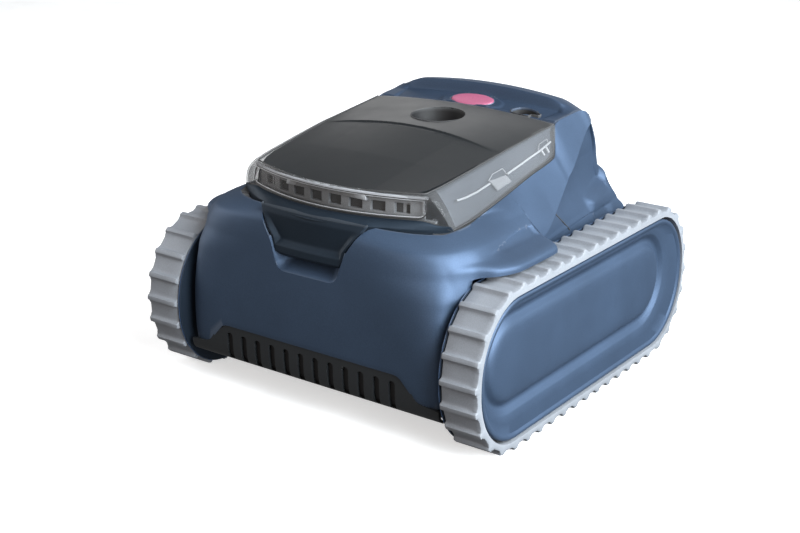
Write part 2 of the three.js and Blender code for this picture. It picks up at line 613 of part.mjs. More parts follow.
function lid() {
  const band = (u, v) => {
    const [low, high] = lidBandEdges(u);
    const point = low.lerp(high, v);
    const bow = 3 * Math.sin(Math.PI * v) * Math.min(Math.abs(u - 0.5) * 4, 1);
    return vec(point.x + Math.sign(point.x) * bow, point.y, point.z + bow * 0.6);
  };
  piece("lid_window", wall(band, 28, 2, 2.4), SMOKE);

  const panel = (u, v) => {
    const frontY = (x) => -174.6 + 24.1 * squared(x);
    const edge = lerp(96, panelEdgeX(62), Math.min(v * 3, 1));
    const x = lerp(-edge, edge, u);
    const y = lerp(frontY(x), 62.5, v);
    return vec(x, y, panelZ(x, y));
  };
  let slab = wall(panel, 8, 6, 2.5);
  slab = slab.subtract(roundZ(0, OUTLET.y, OUTLET.radius, 230, 300, 20));
  for (const side of [-1, 1]) {
    const [x0, x1] = across(side, 34, 50);
    const ear = prismX([[58, 258.5], [66, 258.4], [66, 263.4], [62, 263.4], [58, 263.4]], x0, x1);
    const barrel = roundX(HINGE.y, HINGE.z, 2.7, x0, x1, 16);
    const bore = roundX(HINGE.y, HINGE.z, HINGE.pinRadius + 0.3, x0 - 1, x1 + 1, 16);
    slab = slab.add(ear.add(barrel).subtract(bore));
  }
  piece("lid_panel", slab, CHARCOAL);

  const bezel = (u, v) => {
    const outerX = lerp(-119, 119, u);
    const innerX = outerX * 0.94;
    const outer = vec(outerX, lidEdgeY(outerX) + 0.8, 203 - 2.2 * squared(outerX));
    const inner = vec(innerX, -182.4 + 23.2 * squared(innerX), 207.6);
    return outer.lerp(inner, v);
  };
  const tabFace = [[-203, 163], [-199, 162], [-196, 176], [-186, 203], [-189, 206], [-199, 204],
    [-202.7, 175]];
  const tabSides = prismY([[-42, 161], [42, 161], [61, 208], [-61, 208]], -210, -180);
  const tab = prismX(tabFace.reverse(), -61, 61).intersect(tabSides);
  piece("lid_bezel", wall(bezel, 20, 1, 2.6).add(tab), NAVY);
  const hook = [[-182, 186], [-179, 184], [-177, 188], [-178, 200], [-180.6, 200], [-180.6, 190]];
  piece("lid_catch", prismX(hook, -14, 14), BLACK);
}

function hingePins() {
  for (const [suffix, side] of [["l", -1], ["r", 1]]) {
    const [x0, x1] = across(side, 29, 56);
    const pin = roundX(HINGE.y, HINGE.z, HINGE.pinRadius, x0, x1, 16);
    let blocks = pin;
    for (const near of [29, 51]) {
      const [b0, b1] = across(side, near, near + 4.4);
      blocks = blocks.add(box(b0, b1, 64, 68.8, 246, 262.4));
    }
    piece(`lid_hinge_pin_${suffix}`, blocks, STEEL);
  }
}

// ---------------------------------------------------------------- filter basket
function filterBasket() {
  const { halfX, front, rear, floor, top } = BASKET;
  const skin = 2.5;
  const inside = box(-halfX + skin, halfX - skin, front + skin, rear - skin, floor + skin, top + 1);
  const post = 12; // width of the corner posts
  const band = 14; // height of the bands round the top and bottom
  let frame = box(-halfX, halfX, front, rear, floor, top).subtract(inside);
  frame = frame.subtract(box(-halfX + post, halfX - post, front - 1, rear + 1, floor + band, top - band));
  frame = frame.subtract(box(-halfX - 1, halfX + 1, front + post, rear - post, floor + band, top - band));
  frame = frame.subtract(box(-64, 64, MOUTH.front + 4, MOUTH.rear - 4, floor - 1, floor + 5));
  piece("filter_basket", frame, GREY);
  const z0 = floor + band + GAP;
  const z1 = top - band - GAP;
  const meshX = halfX - post - GAP;
  piece("basket_mesh_front", box(-meshX, meshX, front + 0.6, front + 1.8, z0, z1), WHITE);
  piece("basket_mesh_rear", box(-meshX, meshX, rear - 1.8, rear - 0.6, z0, z1), WHITE);
  for (const [suffix, side] of [["l", -1], ["r", 1]]) {
    const [x0, x1] = across(side, halfX - 1.8, halfX - 0.6);
    piece(`basket_mesh_${suffix}`, box(x0, x1, front + post + GAP, rear - post - GAP, z0, z1), WHITE);
  }
}

/** Castellated strip that stands on the basket behind the lid's window, on a curved shelf. */
function basketRim() {
  const frontY = (x) => -168.5 + 23.2 * squared(x);
  const strip = (u, v) => {
    const x = lerp(-RIM.halfX, RIM.halfX, u);
    return vec(x, frontY(x), lerp(RIM.low, RIM.high, v));
  };
  let rim = wall(strip, 12, 1, 3);
  for (let i = 0; i < RIM.openings; i += 1) {
    const x = (i - (RIM.openings - 1) / 2) * RIM.pitch;
    rim = rim.subtract(box(x - 5, x + 5, -180, -140, 212, 221));
  }
  const shelf = [];
  for (let i = 0; i <= 8; i += 1) {
    const x = lerp(-92, 92, i / 8);
    shelf.push([x, frontY(x) + 1]);
  }
  shelf.push([92, -143], [-92, -143]);
  const arms = box(-106, 106, -145, -139, RIM.low, RIM.low + 2.4);
  piece("basket_rim", rim.add(prismZ(shelf, RIM.low, RIM.low + 2.4)).add(arms), GREY);
}

function latchRods() {
  for (const [suffix, side] of [["l", -1], ["r", 1]]) {
    const [x0, x1] = across(side, 106.4, 108.8);
    const rod = prismX([[-136, 207], [40, 232], [40, 234.4], [-136, 209.4]], x0, x1);
    const [b0, b1] = across(side, 105, 111);
    piece(`basket_rod_${suffix}`, rod.add(box(b0, b1, -61, -40, 215, 226)), WHITE);
  }
}

/** Two flaps that close the suction mouth inside the basket floor when the pump stops. */
function intakeFlaps() {
  for (const [suffix, side] of [["l", -1], ["r", 1]]) {
    const [x0, x1] = across(side, 1, 66);
    piece(`intake_flap_${suffix}`, box(x0, x1, MOUTH.front + 2, MOUTH.rear - 1.6, 61, 62.6), BLACK);
  }
}

// ---------------------------------------------------------------- pump and electronics
function pump() {
  const hub = [[0, 218], [22, 218], [23, 224], [20, 240], [13, 247], [5, 249.6], [0, 250]];
  const points = hub.map(([radius, z]) => new THREE.Vector2(radius, z));
  let impeller = solid(new THREE.LatheGeometry(points, 16).rotateX(Math.PI / 2).translate(0, OUTLET.y, 0));
  const blades = 6;
  for (let i = 0; i < blades; i += 1) {
    const blade = new THREE.BoxGeometry(7, 1.8, 16);
    blade.rotateX(0.7).translate(22.6, 0, 229).rotateZ((i / blades) * Math.PI * 2);
    blade.translate(0, OUTLET.y, 0);
    impeller = impeller.add(solid(blade));
  }
  piece("impeller", impeller.subtract(roundZ(0, OUTLET.y, 3.3, 200, 236, 16)), BLACK);
  piece("pump_shaft", roundZ(0, OUTLET.y, 3, 193.4, 235.6, 16), STEEL);
  const duct = roundZ(0, OUTLET.y, 33, 200, 256, 20).subtract(roundZ(0, OUTLET.y, 30, 190, 270, 20));
  piece("outlet_duct", duct, BLACK);
  const body = roundZ(0, OUTLET.y, 24, 118, 186, 16).add(roundZ(0, OUTLET.y, 8, 185, 193, 12));
  piece("pump_motor", body, CHARCOAL);
}

function dryBox() {
  const { halfX, front, rear, floor, top } = DRY_BOX;
  let tub = box(-halfX, halfX, front, rear, floor, top);
  tub = tub.subtract(box(-halfX + WALL, halfX - WALL, front + WALL, rear - WALL, floor + WALL, top + 1));
  piece("dry_box", tub, BLACK);
  const cover = box(-halfX, halfX, front, rear, top + GAP, top + GAP + 3);
  piece("dry_box_cover", cover.subtract(roundZ(0, OUTLET.y, 8.4, 180, 200, 20)), BLACK);
  piece("battery_pack", box(-70, 70, 52, 110, floor + 4, 120), PINK);
  piece("control_board", box(-75, 75, 112, 113.6, floor + 5, 178), GREEN);
}

// ---------------------------------------------------------------- assembly
frontShell();
rearShell();
topDeck();
skirt("front_skirt", -1, -197.4);
skirt("rear_skirt", 1, 184);
chassisPan();
brushRollers();
for (const [suffix, side] of [["l", -1], ["r", 1]]) {
  trackBelt(side, suffix);
  sideCover(side, suffix);
  trackFrame(side, suffix);
  driveTrain(side, suffix);
}
lid();
hingePins();
filterBasket();
basketRim();
latchRods();
intakeFlaps();
pump();
dryBox();

export default model;
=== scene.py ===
"""The looks of a tracked robotic pool cleaner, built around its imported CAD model.

Shapes are worked out in millimetres in the CAD frame: +Z up, -Y the front, +X the right-hand side
seen from the front. Only the finished meshes are in metres.
"""

import json
import math

import bpy
import numpy as np
from mathutils import Matrix, Vector


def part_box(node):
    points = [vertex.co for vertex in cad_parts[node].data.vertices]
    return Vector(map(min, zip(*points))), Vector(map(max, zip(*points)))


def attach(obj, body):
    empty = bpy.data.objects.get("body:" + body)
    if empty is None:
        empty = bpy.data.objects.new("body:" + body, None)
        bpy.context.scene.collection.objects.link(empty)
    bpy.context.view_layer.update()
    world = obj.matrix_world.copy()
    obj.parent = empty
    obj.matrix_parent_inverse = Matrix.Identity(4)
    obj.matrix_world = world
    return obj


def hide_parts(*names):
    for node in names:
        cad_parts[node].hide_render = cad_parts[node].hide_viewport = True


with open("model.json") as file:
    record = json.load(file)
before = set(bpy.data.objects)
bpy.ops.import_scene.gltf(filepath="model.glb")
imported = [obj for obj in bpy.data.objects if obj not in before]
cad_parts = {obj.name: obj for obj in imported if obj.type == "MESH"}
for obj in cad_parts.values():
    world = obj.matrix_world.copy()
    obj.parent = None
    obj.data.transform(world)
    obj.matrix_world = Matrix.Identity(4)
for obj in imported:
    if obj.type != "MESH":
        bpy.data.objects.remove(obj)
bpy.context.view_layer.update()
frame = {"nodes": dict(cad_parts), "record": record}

MM = 0.001
SIDES = (("l", -1), ("r", 1))


def node_box(node):
    """Lowest and highest corner of a CAD node in millimetres."""
    low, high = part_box(node)
    return np.array(low) / MM, np.array(high) / MM


# ------------------------------------------------------------------ driving dimensions
BELT_LOW, BELT_HIGH = node_box("track_belt_r")
BELT_IN, BELT_OUT = BELT_LOW[0], BELT_HIGH[0]
AXLE_Z = node_box("drive_axle_r")[0][2] + 5
LOOP_HALF_LENGTH = 208.4  # side cover line, seen from the side
LOOP_HALF_HEIGHT = 74.6
LOOP_CORNER_Y = 64
LOOP_CORNER_Z = 72.2
LUG_TIP = 8.1
BELT_LAND = 4.4
BELT_INNER = -2.5
LUG_COUNT = 44

HULL_X = 157  # flat side of the hull beside the tracks
NOSE_START_Y = -100
FENDER_END_Y = -47
FRONT_SKIRT_Y = -201.5
REAR_SKIRT_Y = 190.5
DECK_FRONT_Y = 70.8
PANEL_REAR_Y = 67.2
HINGE_Y, HINGE_Z = 66, 260.8
OUTLET_Y = 19.5
OUTLET_RADIUS = 28.3
SPLIT_Y = 130  # rear end of the front shell at deck height
CREASE_START_Y = -44
CREASE_FOOT_Z = 166
CREASE_TOP_Z = 257
REAR_TOP_Z = 261  # the rear shell's top before it follows the upswept rim


# ------------------------------------------------------------------ curves and smooth steps
def curve(*points):
    """A smooth function through (input, output) points that doesn't overshoot them."""
    x, y = np.array(points, float).T
    step = np.diff(x)
    slope = np.diff(y) / step
    tangent = np.zeros_like(y)
    tangent[0], tangent[-1] = slope[0], slope[-1]
    for k in range(1, len(x) - 1):
        if slope[k - 1] * slope[k] > 0:
            a = 2 * step[k] + step[k - 1]
            b = step[k] + 2 * step[k - 1]
            tangent[k] = (a + b) / (a / slope[k - 1] + b / slope[k])

    def at(value):
        value = np.clip(value, x[0], x[-1])
        k = np.clip(np.searchsorted(x, value, side="right") - 1, 0, len(step) - 1)
        t = (value - x[k]) / step[k]
        return (
            y[k] * (1 + 2 * t) * (1 - t) ** 2
            + step[k] * tangent[k] * t * (1 - t) ** 2
            + y[k + 1] * t * t * (3 - 2 * t)
            + step[k] * tangent[k + 1] * t * t * (t - 1)
        )

    return at


def lines(*points):
    """A function of straight stretches through (input, output) points."""
    x, y = np.array(points, float).T
    return lambda value: np.interp(value, x, y)


def ease(low, high, value):
    """0 below low, 1 above high and a smooth step between."""
    t = np.clip((value - low) / (high - low), 0, 1)
    return t * t * (3 - 2 * t)


def spans(*stretches):
    """Stations along several (from, to, count) stretches, each starting where the last one ends."""
    stations = [np.linspace(*stretch)[:-1] for stretch in stretches[:-1]]
    return np.concatenate([*stations, np.linspace(*stretches[-1])])


def squared(x):
    return (x / 100) ** 2


def blend(a, b, t):
    return a + (b - a) * t


# ------------------------------------------------------------------ mesh helpers
def mesh_object(name, points, faces):
    """A mesh piece from points in millimetres."""
    mesh = bpy.data.meshes.new(name)
    mesh.from_pydata((np.asarray(points, float) * MM).tolist(), [], [list(f) for f in faces])
    mesh.validate()
    mesh.update()
    piece = bpy.data.objects.new(name, mesh)
    bpy.context.scene.collection.objects.link(piece)
    return piece


def grid_faces(columns, rows, wrap_columns=False, wrap_rows=False, start=0):
    """Quads of a grid of points stored column by column."""
    faces = []
    for i in range(columns if wrap_columns else columns - 1):
        near, far = i * rows, ((i + 1) % columns) * rows
        for j in range(rows if wrap_rows else rows - 1):
            above = (j + 1) % rows
            faces.append((start + near + j, start + far + j, start + far + above, start + near + above))
    return faces


def surface(name, grid, wrap_columns=False, wrap_rows=False):
    """A mesh through grid[column][row] = (x, y, z). Columns run right and rows up, seen from outside."""
    grid = np.asarray(grid, float)
    columns, rows = grid.shape[:2]
    return mesh_object(name, grid.reshape(-1, 3), grid_faces(columns, rows, wrap_columns, wrap_rows))


def prism(name, outline, axis, low, high):
    """A closed outline of two coordinates, swept along axis 0, 1 or 2 from low to high."""
    outline = np.asarray(outline, float)
    others = [k for k in range(3) if k != axis]
    count = len(outline)
    points = np.zeros((2 * count, 3))
    for end, depth in enumerate((low, high)):
        ring = points[end * count : (end + 1) * count]
        ring[:, others[0]], ring[:, others[1]], ring[:, axis] = outline[:, 0], outline[:, 1], depth
    faces = [tuple(range(count)), tuple(range(2 * count - 1, count - 1, -1))]
    faces += [(i, count + i, count + (i + 1) % count, (i + 1) % count) for i in range(count)]
    piece = mesh_object(name, points, faces)
    face_outwards(piece)
    return piece


def full_turn(count):
    """Even angles all the way round."""
    return np.linspace(0, 2 * math.pi, count, endpoint=False)


def oval(x, y, half_x, half_y, turn):
    """Points of an oval round (x, y) at the angles in turn."""
    return [(x + half_x * math.cos(t), y + half_y * math.sin(t)) for t in turn]


def across(side, near, far):
    """Two distances from the middle, as low and high x on one side."""
    return sorted((side * near, side * far))


def face_outwards(piece):
    """Turns a closed mesh's faces so that its volume is positive."""
    mesh = piece.data
    mesh.calc_loop_triangles()
    points = np.array([vertex.co for vertex in mesh.vertices])
    corners = points[np.array([triangle.vertices for triangle in mesh.loop_triangles])]
    volume = np.einsum("ij,ij->", corners[:, 0], np.cross(corners[:, 1], corners[:, 2]))
    if volume < 0:
        mesh.flip_normals()


def thicken(piece, thickness):
    solidify = piece.modifiers.new("wall", "SOLIDIFY")
    solidify.thickness = thickness * MM
    solidify.offset = -1
    solidify.use_even_offset = False


def sheet(name, grid, thickness):
    """A surface with a wall behind it."""
    piece = surface(name, np.array(grid))
    thicken(piece, thickness)
    return piece


def round_edges(piece, radius, segments=2, angle=40):
    bevel = piece.modifiers.new("edges", "BEVEL")
    bevel.width = radius * MM
    bevel.segments = segments
    bevel.limit_method = "ANGLE"
    bevel.angle_limit = math.radians(angle)


def combine(piece, other, operation):
    """Cuts or joins a closed mesh with another, which is then gone."""
    settle(piece)
    face_outwards(piece)
    modifier = piece.modifiers.new("combine", "BOOLEAN")
    modifier.operation = operation
    modifier.solver = "MANIFOLD"
    modifier.object = other
    settle(piece)
    bpy.data.objects.remove(other)


def settle(piece, sharp=38):
    """Applies a piece's modifiers, and shades it smooth apart from edges sharper than an angle."""
    depsgraph = bpy.context.evaluated_depsgraph_get()
    mesh = bpy.data.meshes.new_from_object(piece.evaluated_get(depsgraph))
    piece.modifiers.clear()
    old = piece.data
    piece.data = mesh
    bpy.data.meshes.remove(old)
    mesh.shade_smooth()
    mesh.set_sharp_from_angle(angle=math.radians(sharp))


def join(name, pieces):
    """One piece from several meshes that don't need to be welded."""
    for piece in pieces:
        if piece.modifiers:
            settle(piece)
    points, faces, start = [], [], 0
    for piece in pieces:
        points += [vertex.co[:] for vertex in piece.data.vertices]
        faces += [[start + v for v in polygon.vertices] for polygon in piece.data.polygons]
        start += len(piece.data.vertices)
        bpy.data.objects.remove(piece)
    mesh = bpy.data.meshes.new(name)
    mesh.from_pydata(points, [], faces)
    whole = bpy.data.objects.new(name, mesh)
    bpy.context.scene.collection.objects.link(whole)
    settle(whole)
    return whole


def place(piece, material, body, slot, *nodes):
    """Gives a finished piece its material and body, and hides the CAD nodes it stands for; the slot is not
    used.
    """
    piece.data.materials.clear()
    piece.data.materials.append(material)
    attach(piece, body)
    if nodes:
        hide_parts(*nodes)


def tube(name, path, radius, sides=8, closed=False):
    """A round tube along a path of points."""
    path = np.asarray(path, float)
    ahead = np.roll(path, -1, 0) - np.roll(path, 1, 0)
    if not closed:
        ahead[0], ahead[-1] = path[1] - path[0], path[-1] - path[-2]
    ahead /= np.linalg.norm(ahead, axis=1)[:, None]
    reference = np.where(np.abs(ahead[:, 2:3]) > 0.9, [[1.0, 0, 0]], [[0, 0, 1.0]])
    sideways = np.cross(ahead, reference)
    sideways /= np.linalg.norm(sideways, axis=1)[:, None]
    upward = np.cross(sideways, ahead)
    turn = full_turn(sides)
    ring = np.cos(turn)[None, :, None] * sideways[:, None] + np.sin(turn)[None, :, None] * upward[:, None]
    grid = path[:, None] + radius * ring
    piece = surface(name, grid, wrap_columns=closed, wrap_rows=True)
    face_outwards(piece)
    settle(piece)
    return piece


# ------------------------------------------------------------------ materials
class Material:
    """A procedural finish on the Principled shader, in the object's own coordinates."""

    def __init__(self, name, colour, roughness, metallic=0.0):
        self.material = bpy.data.materials.new(name)
        self.material.use_nodes = True
        self.tree = self.material.node_tree
        self.shader = self.tree.nodes["Principled BSDF"]
        self.shader.inputs["Metallic"].default_value = metallic
        self.coordinates = self.tree.nodes.new("ShaderNodeTexCoord").outputs["Object"]
        self.height = None
        self.mottle(colour, 11, 0.9, 1.1)
        self.vary_roughness(roughness)

    def link(self, source, target):
        self.tree.links.new(source, target)

    def noise(self, scale, detail=3.0, stretch=(1, 1, 1)):
        mapping = self.tree.nodes.new("ShaderNodeMapping")
        mapping.inputs["Scale"].default_value = stretch
        self.link(self.coordinates, mapping.inputs["Vector"])
        noise = self.tree.nodes.new("ShaderNodeTexNoise")
        noise.inputs["Scale"].default_value = scale
        noise.inputs["Detail"].default_value = detail
        self.link(mapping.outputs["Vector"], noise.inputs["Vector"])
        return noise.outputs["Fac"]

    def ramp(self, source, low, high, from_low=0.3, from_high=0.7):
        """A colour that runs from low to high as source does."""
        ramp = self.tree.nodes.new("ShaderNodeValToRGB")
        ramp.color_ramp.elements[0].position = from_low
        ramp.color_ramp.elements[1].position = from_high
        ramp.color_ramp.elements[0].color = (*low, 1)
        ramp.color_ramp.elements[1].color = (*high, 1)
        self.link(source, ramp.inputs["Fac"])
        return ramp.outputs["Color"]

    def mottle(self, colour, scale, darker, lighter):
        """Slow cloudy variation of the colour, with fine speckle over it and paler sharp edges, partly wear
        and partly a painted edge highlight.
        """
        low = [c * darker for c in colour]
        high = [min(c * lighter, 1) for c in colour]
        cloudy = self.ramp(self.noise(scale), low, high)
        speckle = self.ramp(self.noise(900, 1.0), (0.93,) * 3, (1.07,) * 3)
        tint = self.mix("MULTIPLY", 1.0, cloudy, speckle)
        pointiness = self.tree.nodes.new("ShaderNodeNewGeometry").outputs["Pointiness"]
        # Sharp edges get a paler colour: partly wear, partly a painted highlight where edges catch the light.
        wear_and_edge_highlight = self.ramp(pointiness, (0, 0, 0), (0.05, 0.05, 0.05), 0.53, 0.62)
        self.link(self.mix("ADD", 1.0, tint, wear_and_edge_highlight), self.shader.inputs["Base Color"])

    def mix(self, kind, amount, first, second):
        node = self.tree.nodes.new("ShaderNodeMix")
        node.data_type = "RGBA"
        node.blend_type = kind
        node.inputs["Factor"].default_value = amount
        self.link(first, node.inputs[6])
        self.link(second, node.inputs[7])
        return node.outputs[2]

    def vary_roughness(self, roughness, spread=0.06, scale=35):
        scaled = self.tree.nodes.new("ShaderNodeMapRange")
        scaled.inputs["To Min"].default_value = max(roughness - spread, 0.02)
        scaled.inputs["To Max"].default_value = min(roughness + spread, 1)
        self.link(self.noise(scale), scaled.inputs["Value"])
        self.link(scaled.outputs["Result"], self.shader.inputs["Roughness"])

    def bump(self, source, distance, strength=1.0):
        """Adds relief of a depth in millimetres."""
        bump = self.tree.nodes.new("ShaderNodeBump")
        bump.inputs["Distance"].default_value = distance * MM
        bump.inputs["Strength"].default_value = strength
        self.link(source, bump.inputs["Height"])
        if self.height:
            self.link(self.height, bump.inputs["Normal"])
        self.height = bump.outputs["Normal"]
        self.link(self.height, self.shader.inputs["Normal"])
        return self


def navy_paint(name="navy_shell", colour=(0.048, 0.078, 0.132)):
    finish = Material(name, colour, 0.56, metallic=0.6)
    return finish.bump(finish.noise(1500, 2), 0.02, 0.5).material


def plain_plastic(name, colour, roughness, grain=0.03, scale=1200):
    finish = Material(name, colour, roughness)
    return finish.bump(finish.noise(scale, 3), grain, 0.7).material


def charcoal():
    finish = Material("charcoal_panel", (0.013, 0.0145, 0.016), 0.33)
    finish.shader.inputs["Specular IOR Level"].default_value = 0.35
    return finish.bump(finish.noise(1800, 2), 0.015, 0.5).material


def belt_rubber():
    finish = Material("belt_rubber", (0.21, 0.225, 0.25), 0.52)
    finish.bump(finish.noise(700, 4), 0.05, 0.6)
    return finish.bump(finish.noise(60, 2), 0.2, 0.3).material


def smoked_clear(name="clear_smoke", tint=0.12, least=0.20, most=0.70):
    """Clear smoked moulding: more of a mirror and less clear as it turns away."""
    finish = Material(name, (tint, tint * 1.03, tint * 1.08), 0.2)
    finish.shader.inputs["Specular IOR Level"].default_value = 0.3
    facing = finish.tree.nodes.new("ShaderNodeLayerWeight")
    facing.inputs["Blend"].default_value = 0.35
    alpha = finish.tree.nodes.new("ShaderNodeMapRange")
    alpha.inputs["To Min"].default_value = least
    alpha.inputs["To Max"].default_value = most
    finish.link(facing.outputs["Facing"], alpha.inputs["Value"])
    finish.link(alpha.outputs["Result"], finish.shader.inputs["Alpha"])
    return finish.bump(finish.noise(45, 2), 0.03, 0.2).material


def woven_mesh():
    finish = Material("filter_mesh", (0.52, 0.54, 0.55), 0.7)
    for stretch in ((1, 0, 1), (0, 1, 1), (1, 1, 0)):
        wave = finish.tree.nodes.new("ShaderNodeTexWave")
        wave.inputs["Scale"].default_value = 260
        wave.bands_direction = "DIAGONAL"
        mapping = finish.tree.nodes.new("ShaderNodeMapping")
        mapping.inputs["Scale"].default_value = stretch
        finish.link(finish.coordinates, mapping.inputs["Vector"])
        finish.link(mapping.outputs["Vector"], wave.inputs["Vector"])
        finish.bump(wave.outputs["Fac"], 0.3, 0.6)
    return finish.material


def turned_steel():
    finish = Material("steel", (0.55, 0.56, 0.57), 0.28, metallic=1.0)
    return finish.bump(finish.noise(500, 3, (14, 1, 1)), 0.02, 0.5).material


NAVY = navy_paint()
# A darker copy of the navy shell paint for the lid's bezel: painted shade on the same paint.
NAVY_BEZEL_SHADE = navy_paint("navy_bezel_painted_shade", (0.014, 0.025, 0.040))
DECK_BLUE = navy_paint("deck_blue", (0.036, 0.060, 0.105))
GUARD_NAVY = navy_paint("guard_navy", (0.012, 0.022, 0.038))
CHARCOAL = charcoal()
SMOKE = smoked_clear()
WINDOW = smoked_clear("clear_window", 0.06, 0.05, 0.7)
BELT = belt_rubber()
BLACK = plain_plastic("black_plastic", (0.016, 0.018, 0.020), 0.42)
SKIRT_BLACK = plain_plastic("skirt_black", (0.016, 0.018, 0.020), 0.42)
SEAL = plain_plastic("black_rubber", (0.006, 0.006, 0.007), 0.6, 0.05)
GREY = plain_plastic("grey_plastic", (0.30, 0.31, 0.325), 0.38)
LINER = plain_plastic("liner_grey", (0.10, 0.115, 0.14), 0.35)
# Opaque light grey for the clear rim moulding: a painted reflection of the bright surroundings.
RIM_REFLECTION_GREY = plain_plastic("clear_rim_painted_reflection", (0.30, 0.31, 0.33), 0.16, 0.01)
ROD = plain_plastic("pale_nylon", (0.40, 0.41, 0.43), 0.4)
PINK = plain_plastic("button_pink", (0.36, 0.095, 0.17), 0.42, 0.02, 900)
BRUSH_BLUE = plain_plastic("brush_blue", (0.02, 0.05, 0.12), 0.6, 0.08, 400)
MOTOR = plain_plastic("motor_casing", (0.05, 0.054, 0.06), 0.45)
BATTERY = plain_plastic("battery_wrap", (0.05, 0.14, 0.32), 0.3)
BOARD = plain_plastic("board_green", (0.012, 0.09, 0.035), 0.5)
RIM_BLUE = plain_plastic("rim_blue", (0.003, 0.03, 0.09), 0.45)
MESH = woven_mesh()
STEEL = turned_steel()
STEEL_BLUE = navy_paint("ring_blue", (0.10, 0.15, 0.22))

SLOT_LOOKS = {
    "navy_shell": NAVY,
    "deck_blue": DECK_BLUE,
    "black_plastic": BLACK,
    "black_rubber": SEAL,
    "button_pink": PINK,
    "charcoal_panel": CHARCOAL,
    "clear_smoke": SMOKE,
    "belt_rubber": BELT,
    "brush_blue": BRUSH_BLUE,
    "grey_plastic": GREY,
    "filter_mesh": MESH,
    "pale_nylon": ROD,
    "steel": STEEL,
    "motor_casing": MOTOR,
    "battery_wrap": BATTERY,
    "board_green": BOARD,
}


def dress_nodes():
    """Gives every CAD node that stays in view the look of its slot."""
    for part in frame["record"]["subparts"]:
        node = frame["nodes"][part["node"]]
        node.data.materials.clear()
        node.data.materials.append(SLOT_LOOKS[part["material_slot"]])
    for suffix, _side in SIDES:
        frame["nodes"]["lid_hinge_pin_" + suffix].data.materials[0] = SEAL


# ------------------------------------------------------------------ lines that the pieces share
side_top_z = curve(
    (-146, 199.5), (-112, 202), (-60, 210.6), (-5, 221.8), (42, 230.2), (47, 232.6), (52, 238), (66, 256.5),
    (74, 259.8), (96, 261.8), (117, 263.6), (124, 262.6), (SPLIT_Y, CREASE_TOP_Z),
)
side_top_x = curve(
    (-146, 124), (-112, 126), (42, 126), (52, 121.6), (66, 112), (74, 110.5), (113, 112), (SPLIT_Y, 117.5),
)
fender_flare = curve(
    (-180, 0), (-160, 6), (-144, 21), (-117, 29.5), (-70, 30), (-53, 29), (-49.5, 27), (-47.6, 23),
    (FENDER_END_Y, 16),
)
flare_share = curve((171, 1), (173.5, 0.97), (176, 0.86), (180.2, 0.42), (184, 0.24), (190, 0.1), (198, 0))
nose_width = curve(
    (47, 152.5), (90, 153.5), (140, 155.5), (150, 157), (172, 157), (180, 155), (189, 151), (197, 140),
    (204, 126),
)
nose_depth = curve(
    (47, 100.5), (71, 103), (110, 104), (150, 103.2), (175, 102.5), (189, 101.2), (197, 99.6), (204, 94.8),
)
nose_power = curve((60, 20), (90, 17), (150, 7.5), (168, 5), (189, 4), (197, 2.8), (204, 2.02))
nose_bottom_z = lines((101, 72.4), (106, 71.8), (110, 69.5), (121, 57), (127, 50.6), (131, 49), (154, 47))
shell_top_z = lines(
    (0, 146), (26, 146.1), (30.5, 147), (34.2, 149.4), (36.6, 152.6), (38.4, 157), (43.2, 172), (46.5, 179),
    (59, 198), (62.5, 201.6), (67, 203), (100, 200.9), (118, 199.9),
)


def seam_y(x):
    """Front line of the lid's bezel, seen from above."""
    return -199.3 + 34.7 * squared(x)


def panel_z(x, y):
    """Height of the dark lid panel's base surface."""
    centre = np.interp(y, (-176, -100, -32, OUTLET_Y, 66), (231.8, 247.5, 260.2, 262.7, 264.8))
    crown = np.interp(y, (-176, -100, -32, 66), (1.1, 6, 9, 5))
    return centre - crown * squared(x)


panel_edge_x = curve((-176, 96), (-160, 99.5), (-130, 103.2), (-100, 105), (-40, 107.8), (66, 109.6))


def loop_outline(offset, count=None):
    """The track's line moved out by offset, as (y, z) points; evenly spaced if count is given."""
    reach_y, reach_z = LOOP_HALF_LENGTH + offset, LOOP_HALF_HEIGHT + offset
    radius_y, radius_z = LOOP_CORNER_Y + offset, LOOP_CORNER_Z + offset
    turn = np.linspace(0, math.pi / 2, 40)
    points = []
    for quarter, (sign_y, sign_z) in enumerate(((1, 1), (-1, 1), (-1, -1), (1, -1))):
        angle = turn + quarter * math.pi / 2
        y = sign_y * (reach_y - radius_y) + radius_y * np.cos(angle)
        z = AXLE_Z + sign_z * (reach_z - radius_z) + radius_z * np.sin(angle)
        points.append(np.stack([y, z], 1))
    outline = np.concatenate(points)
    return outline if count is None else resample(outline, count, closed=True)


def resample(outline, count, closed=False):
    """Evenly spaced points along a line."""
    outline = np.asarray(outline, float)
    if closed:
        outline = np.concatenate([outline, outline[:1]])
    length = np.concatenate([[0], np.cumsum(np.linalg.norm(np.diff(outline, axis=0), axis=1))])
    at = np.linspace(0, length[-1], count + 1 if closed else count)
    even = np.stack([np.interp(at, length, outline[:, k]) for k in range(outline.shape[1])], 1)
    return even[:-1] if closed else even


# ------------------------------------------------------------------ front shell
FRONT_FLAT_X = 118  # the front's columns keep their x up to here, and then follow the corner


def nose_corner(z, shares):
    """Points round the nose's corner at height z, from the front's edge back to the side."""
    width, depth, power = nose_width(z), nose_depth(z), nose_power(z)
    start = min(FRONT_FLAT_X / width, 0.999)
    diagonal = 0.5 ** (1 / power)
    x = np.linspace(start, max(start, diagonal), 40)
    front = np.stack([x, (1 - x**power) ** (1 / power)], 1)
    y = np.linspace(front[-1, 1], 0, 60)[1:]
    side = np.stack([(1 - y**power) ** (1 / power), y], 1)
    outline = np.concatenate([front, side]) * (width, -depth) + (0, NOSE_START_Y)
    length = np.concatenate([[0], np.cumsum(np.linalg.norm(np.diff(outline, axis=0), axis=1))])
    at = np.asarray(shares) * length[-1]
    return np.stack([np.interp(at, length, outline[:, k]) for k in range(2)], 1)


def nose_front_y(x, z):
    """The nose's face at distance x from its middle."""
    return NOSE_START_Y - nose_depth(z) * (1 - (x / nose_width(z)) ** nose_power(z)) ** (1 / nose_power(z))


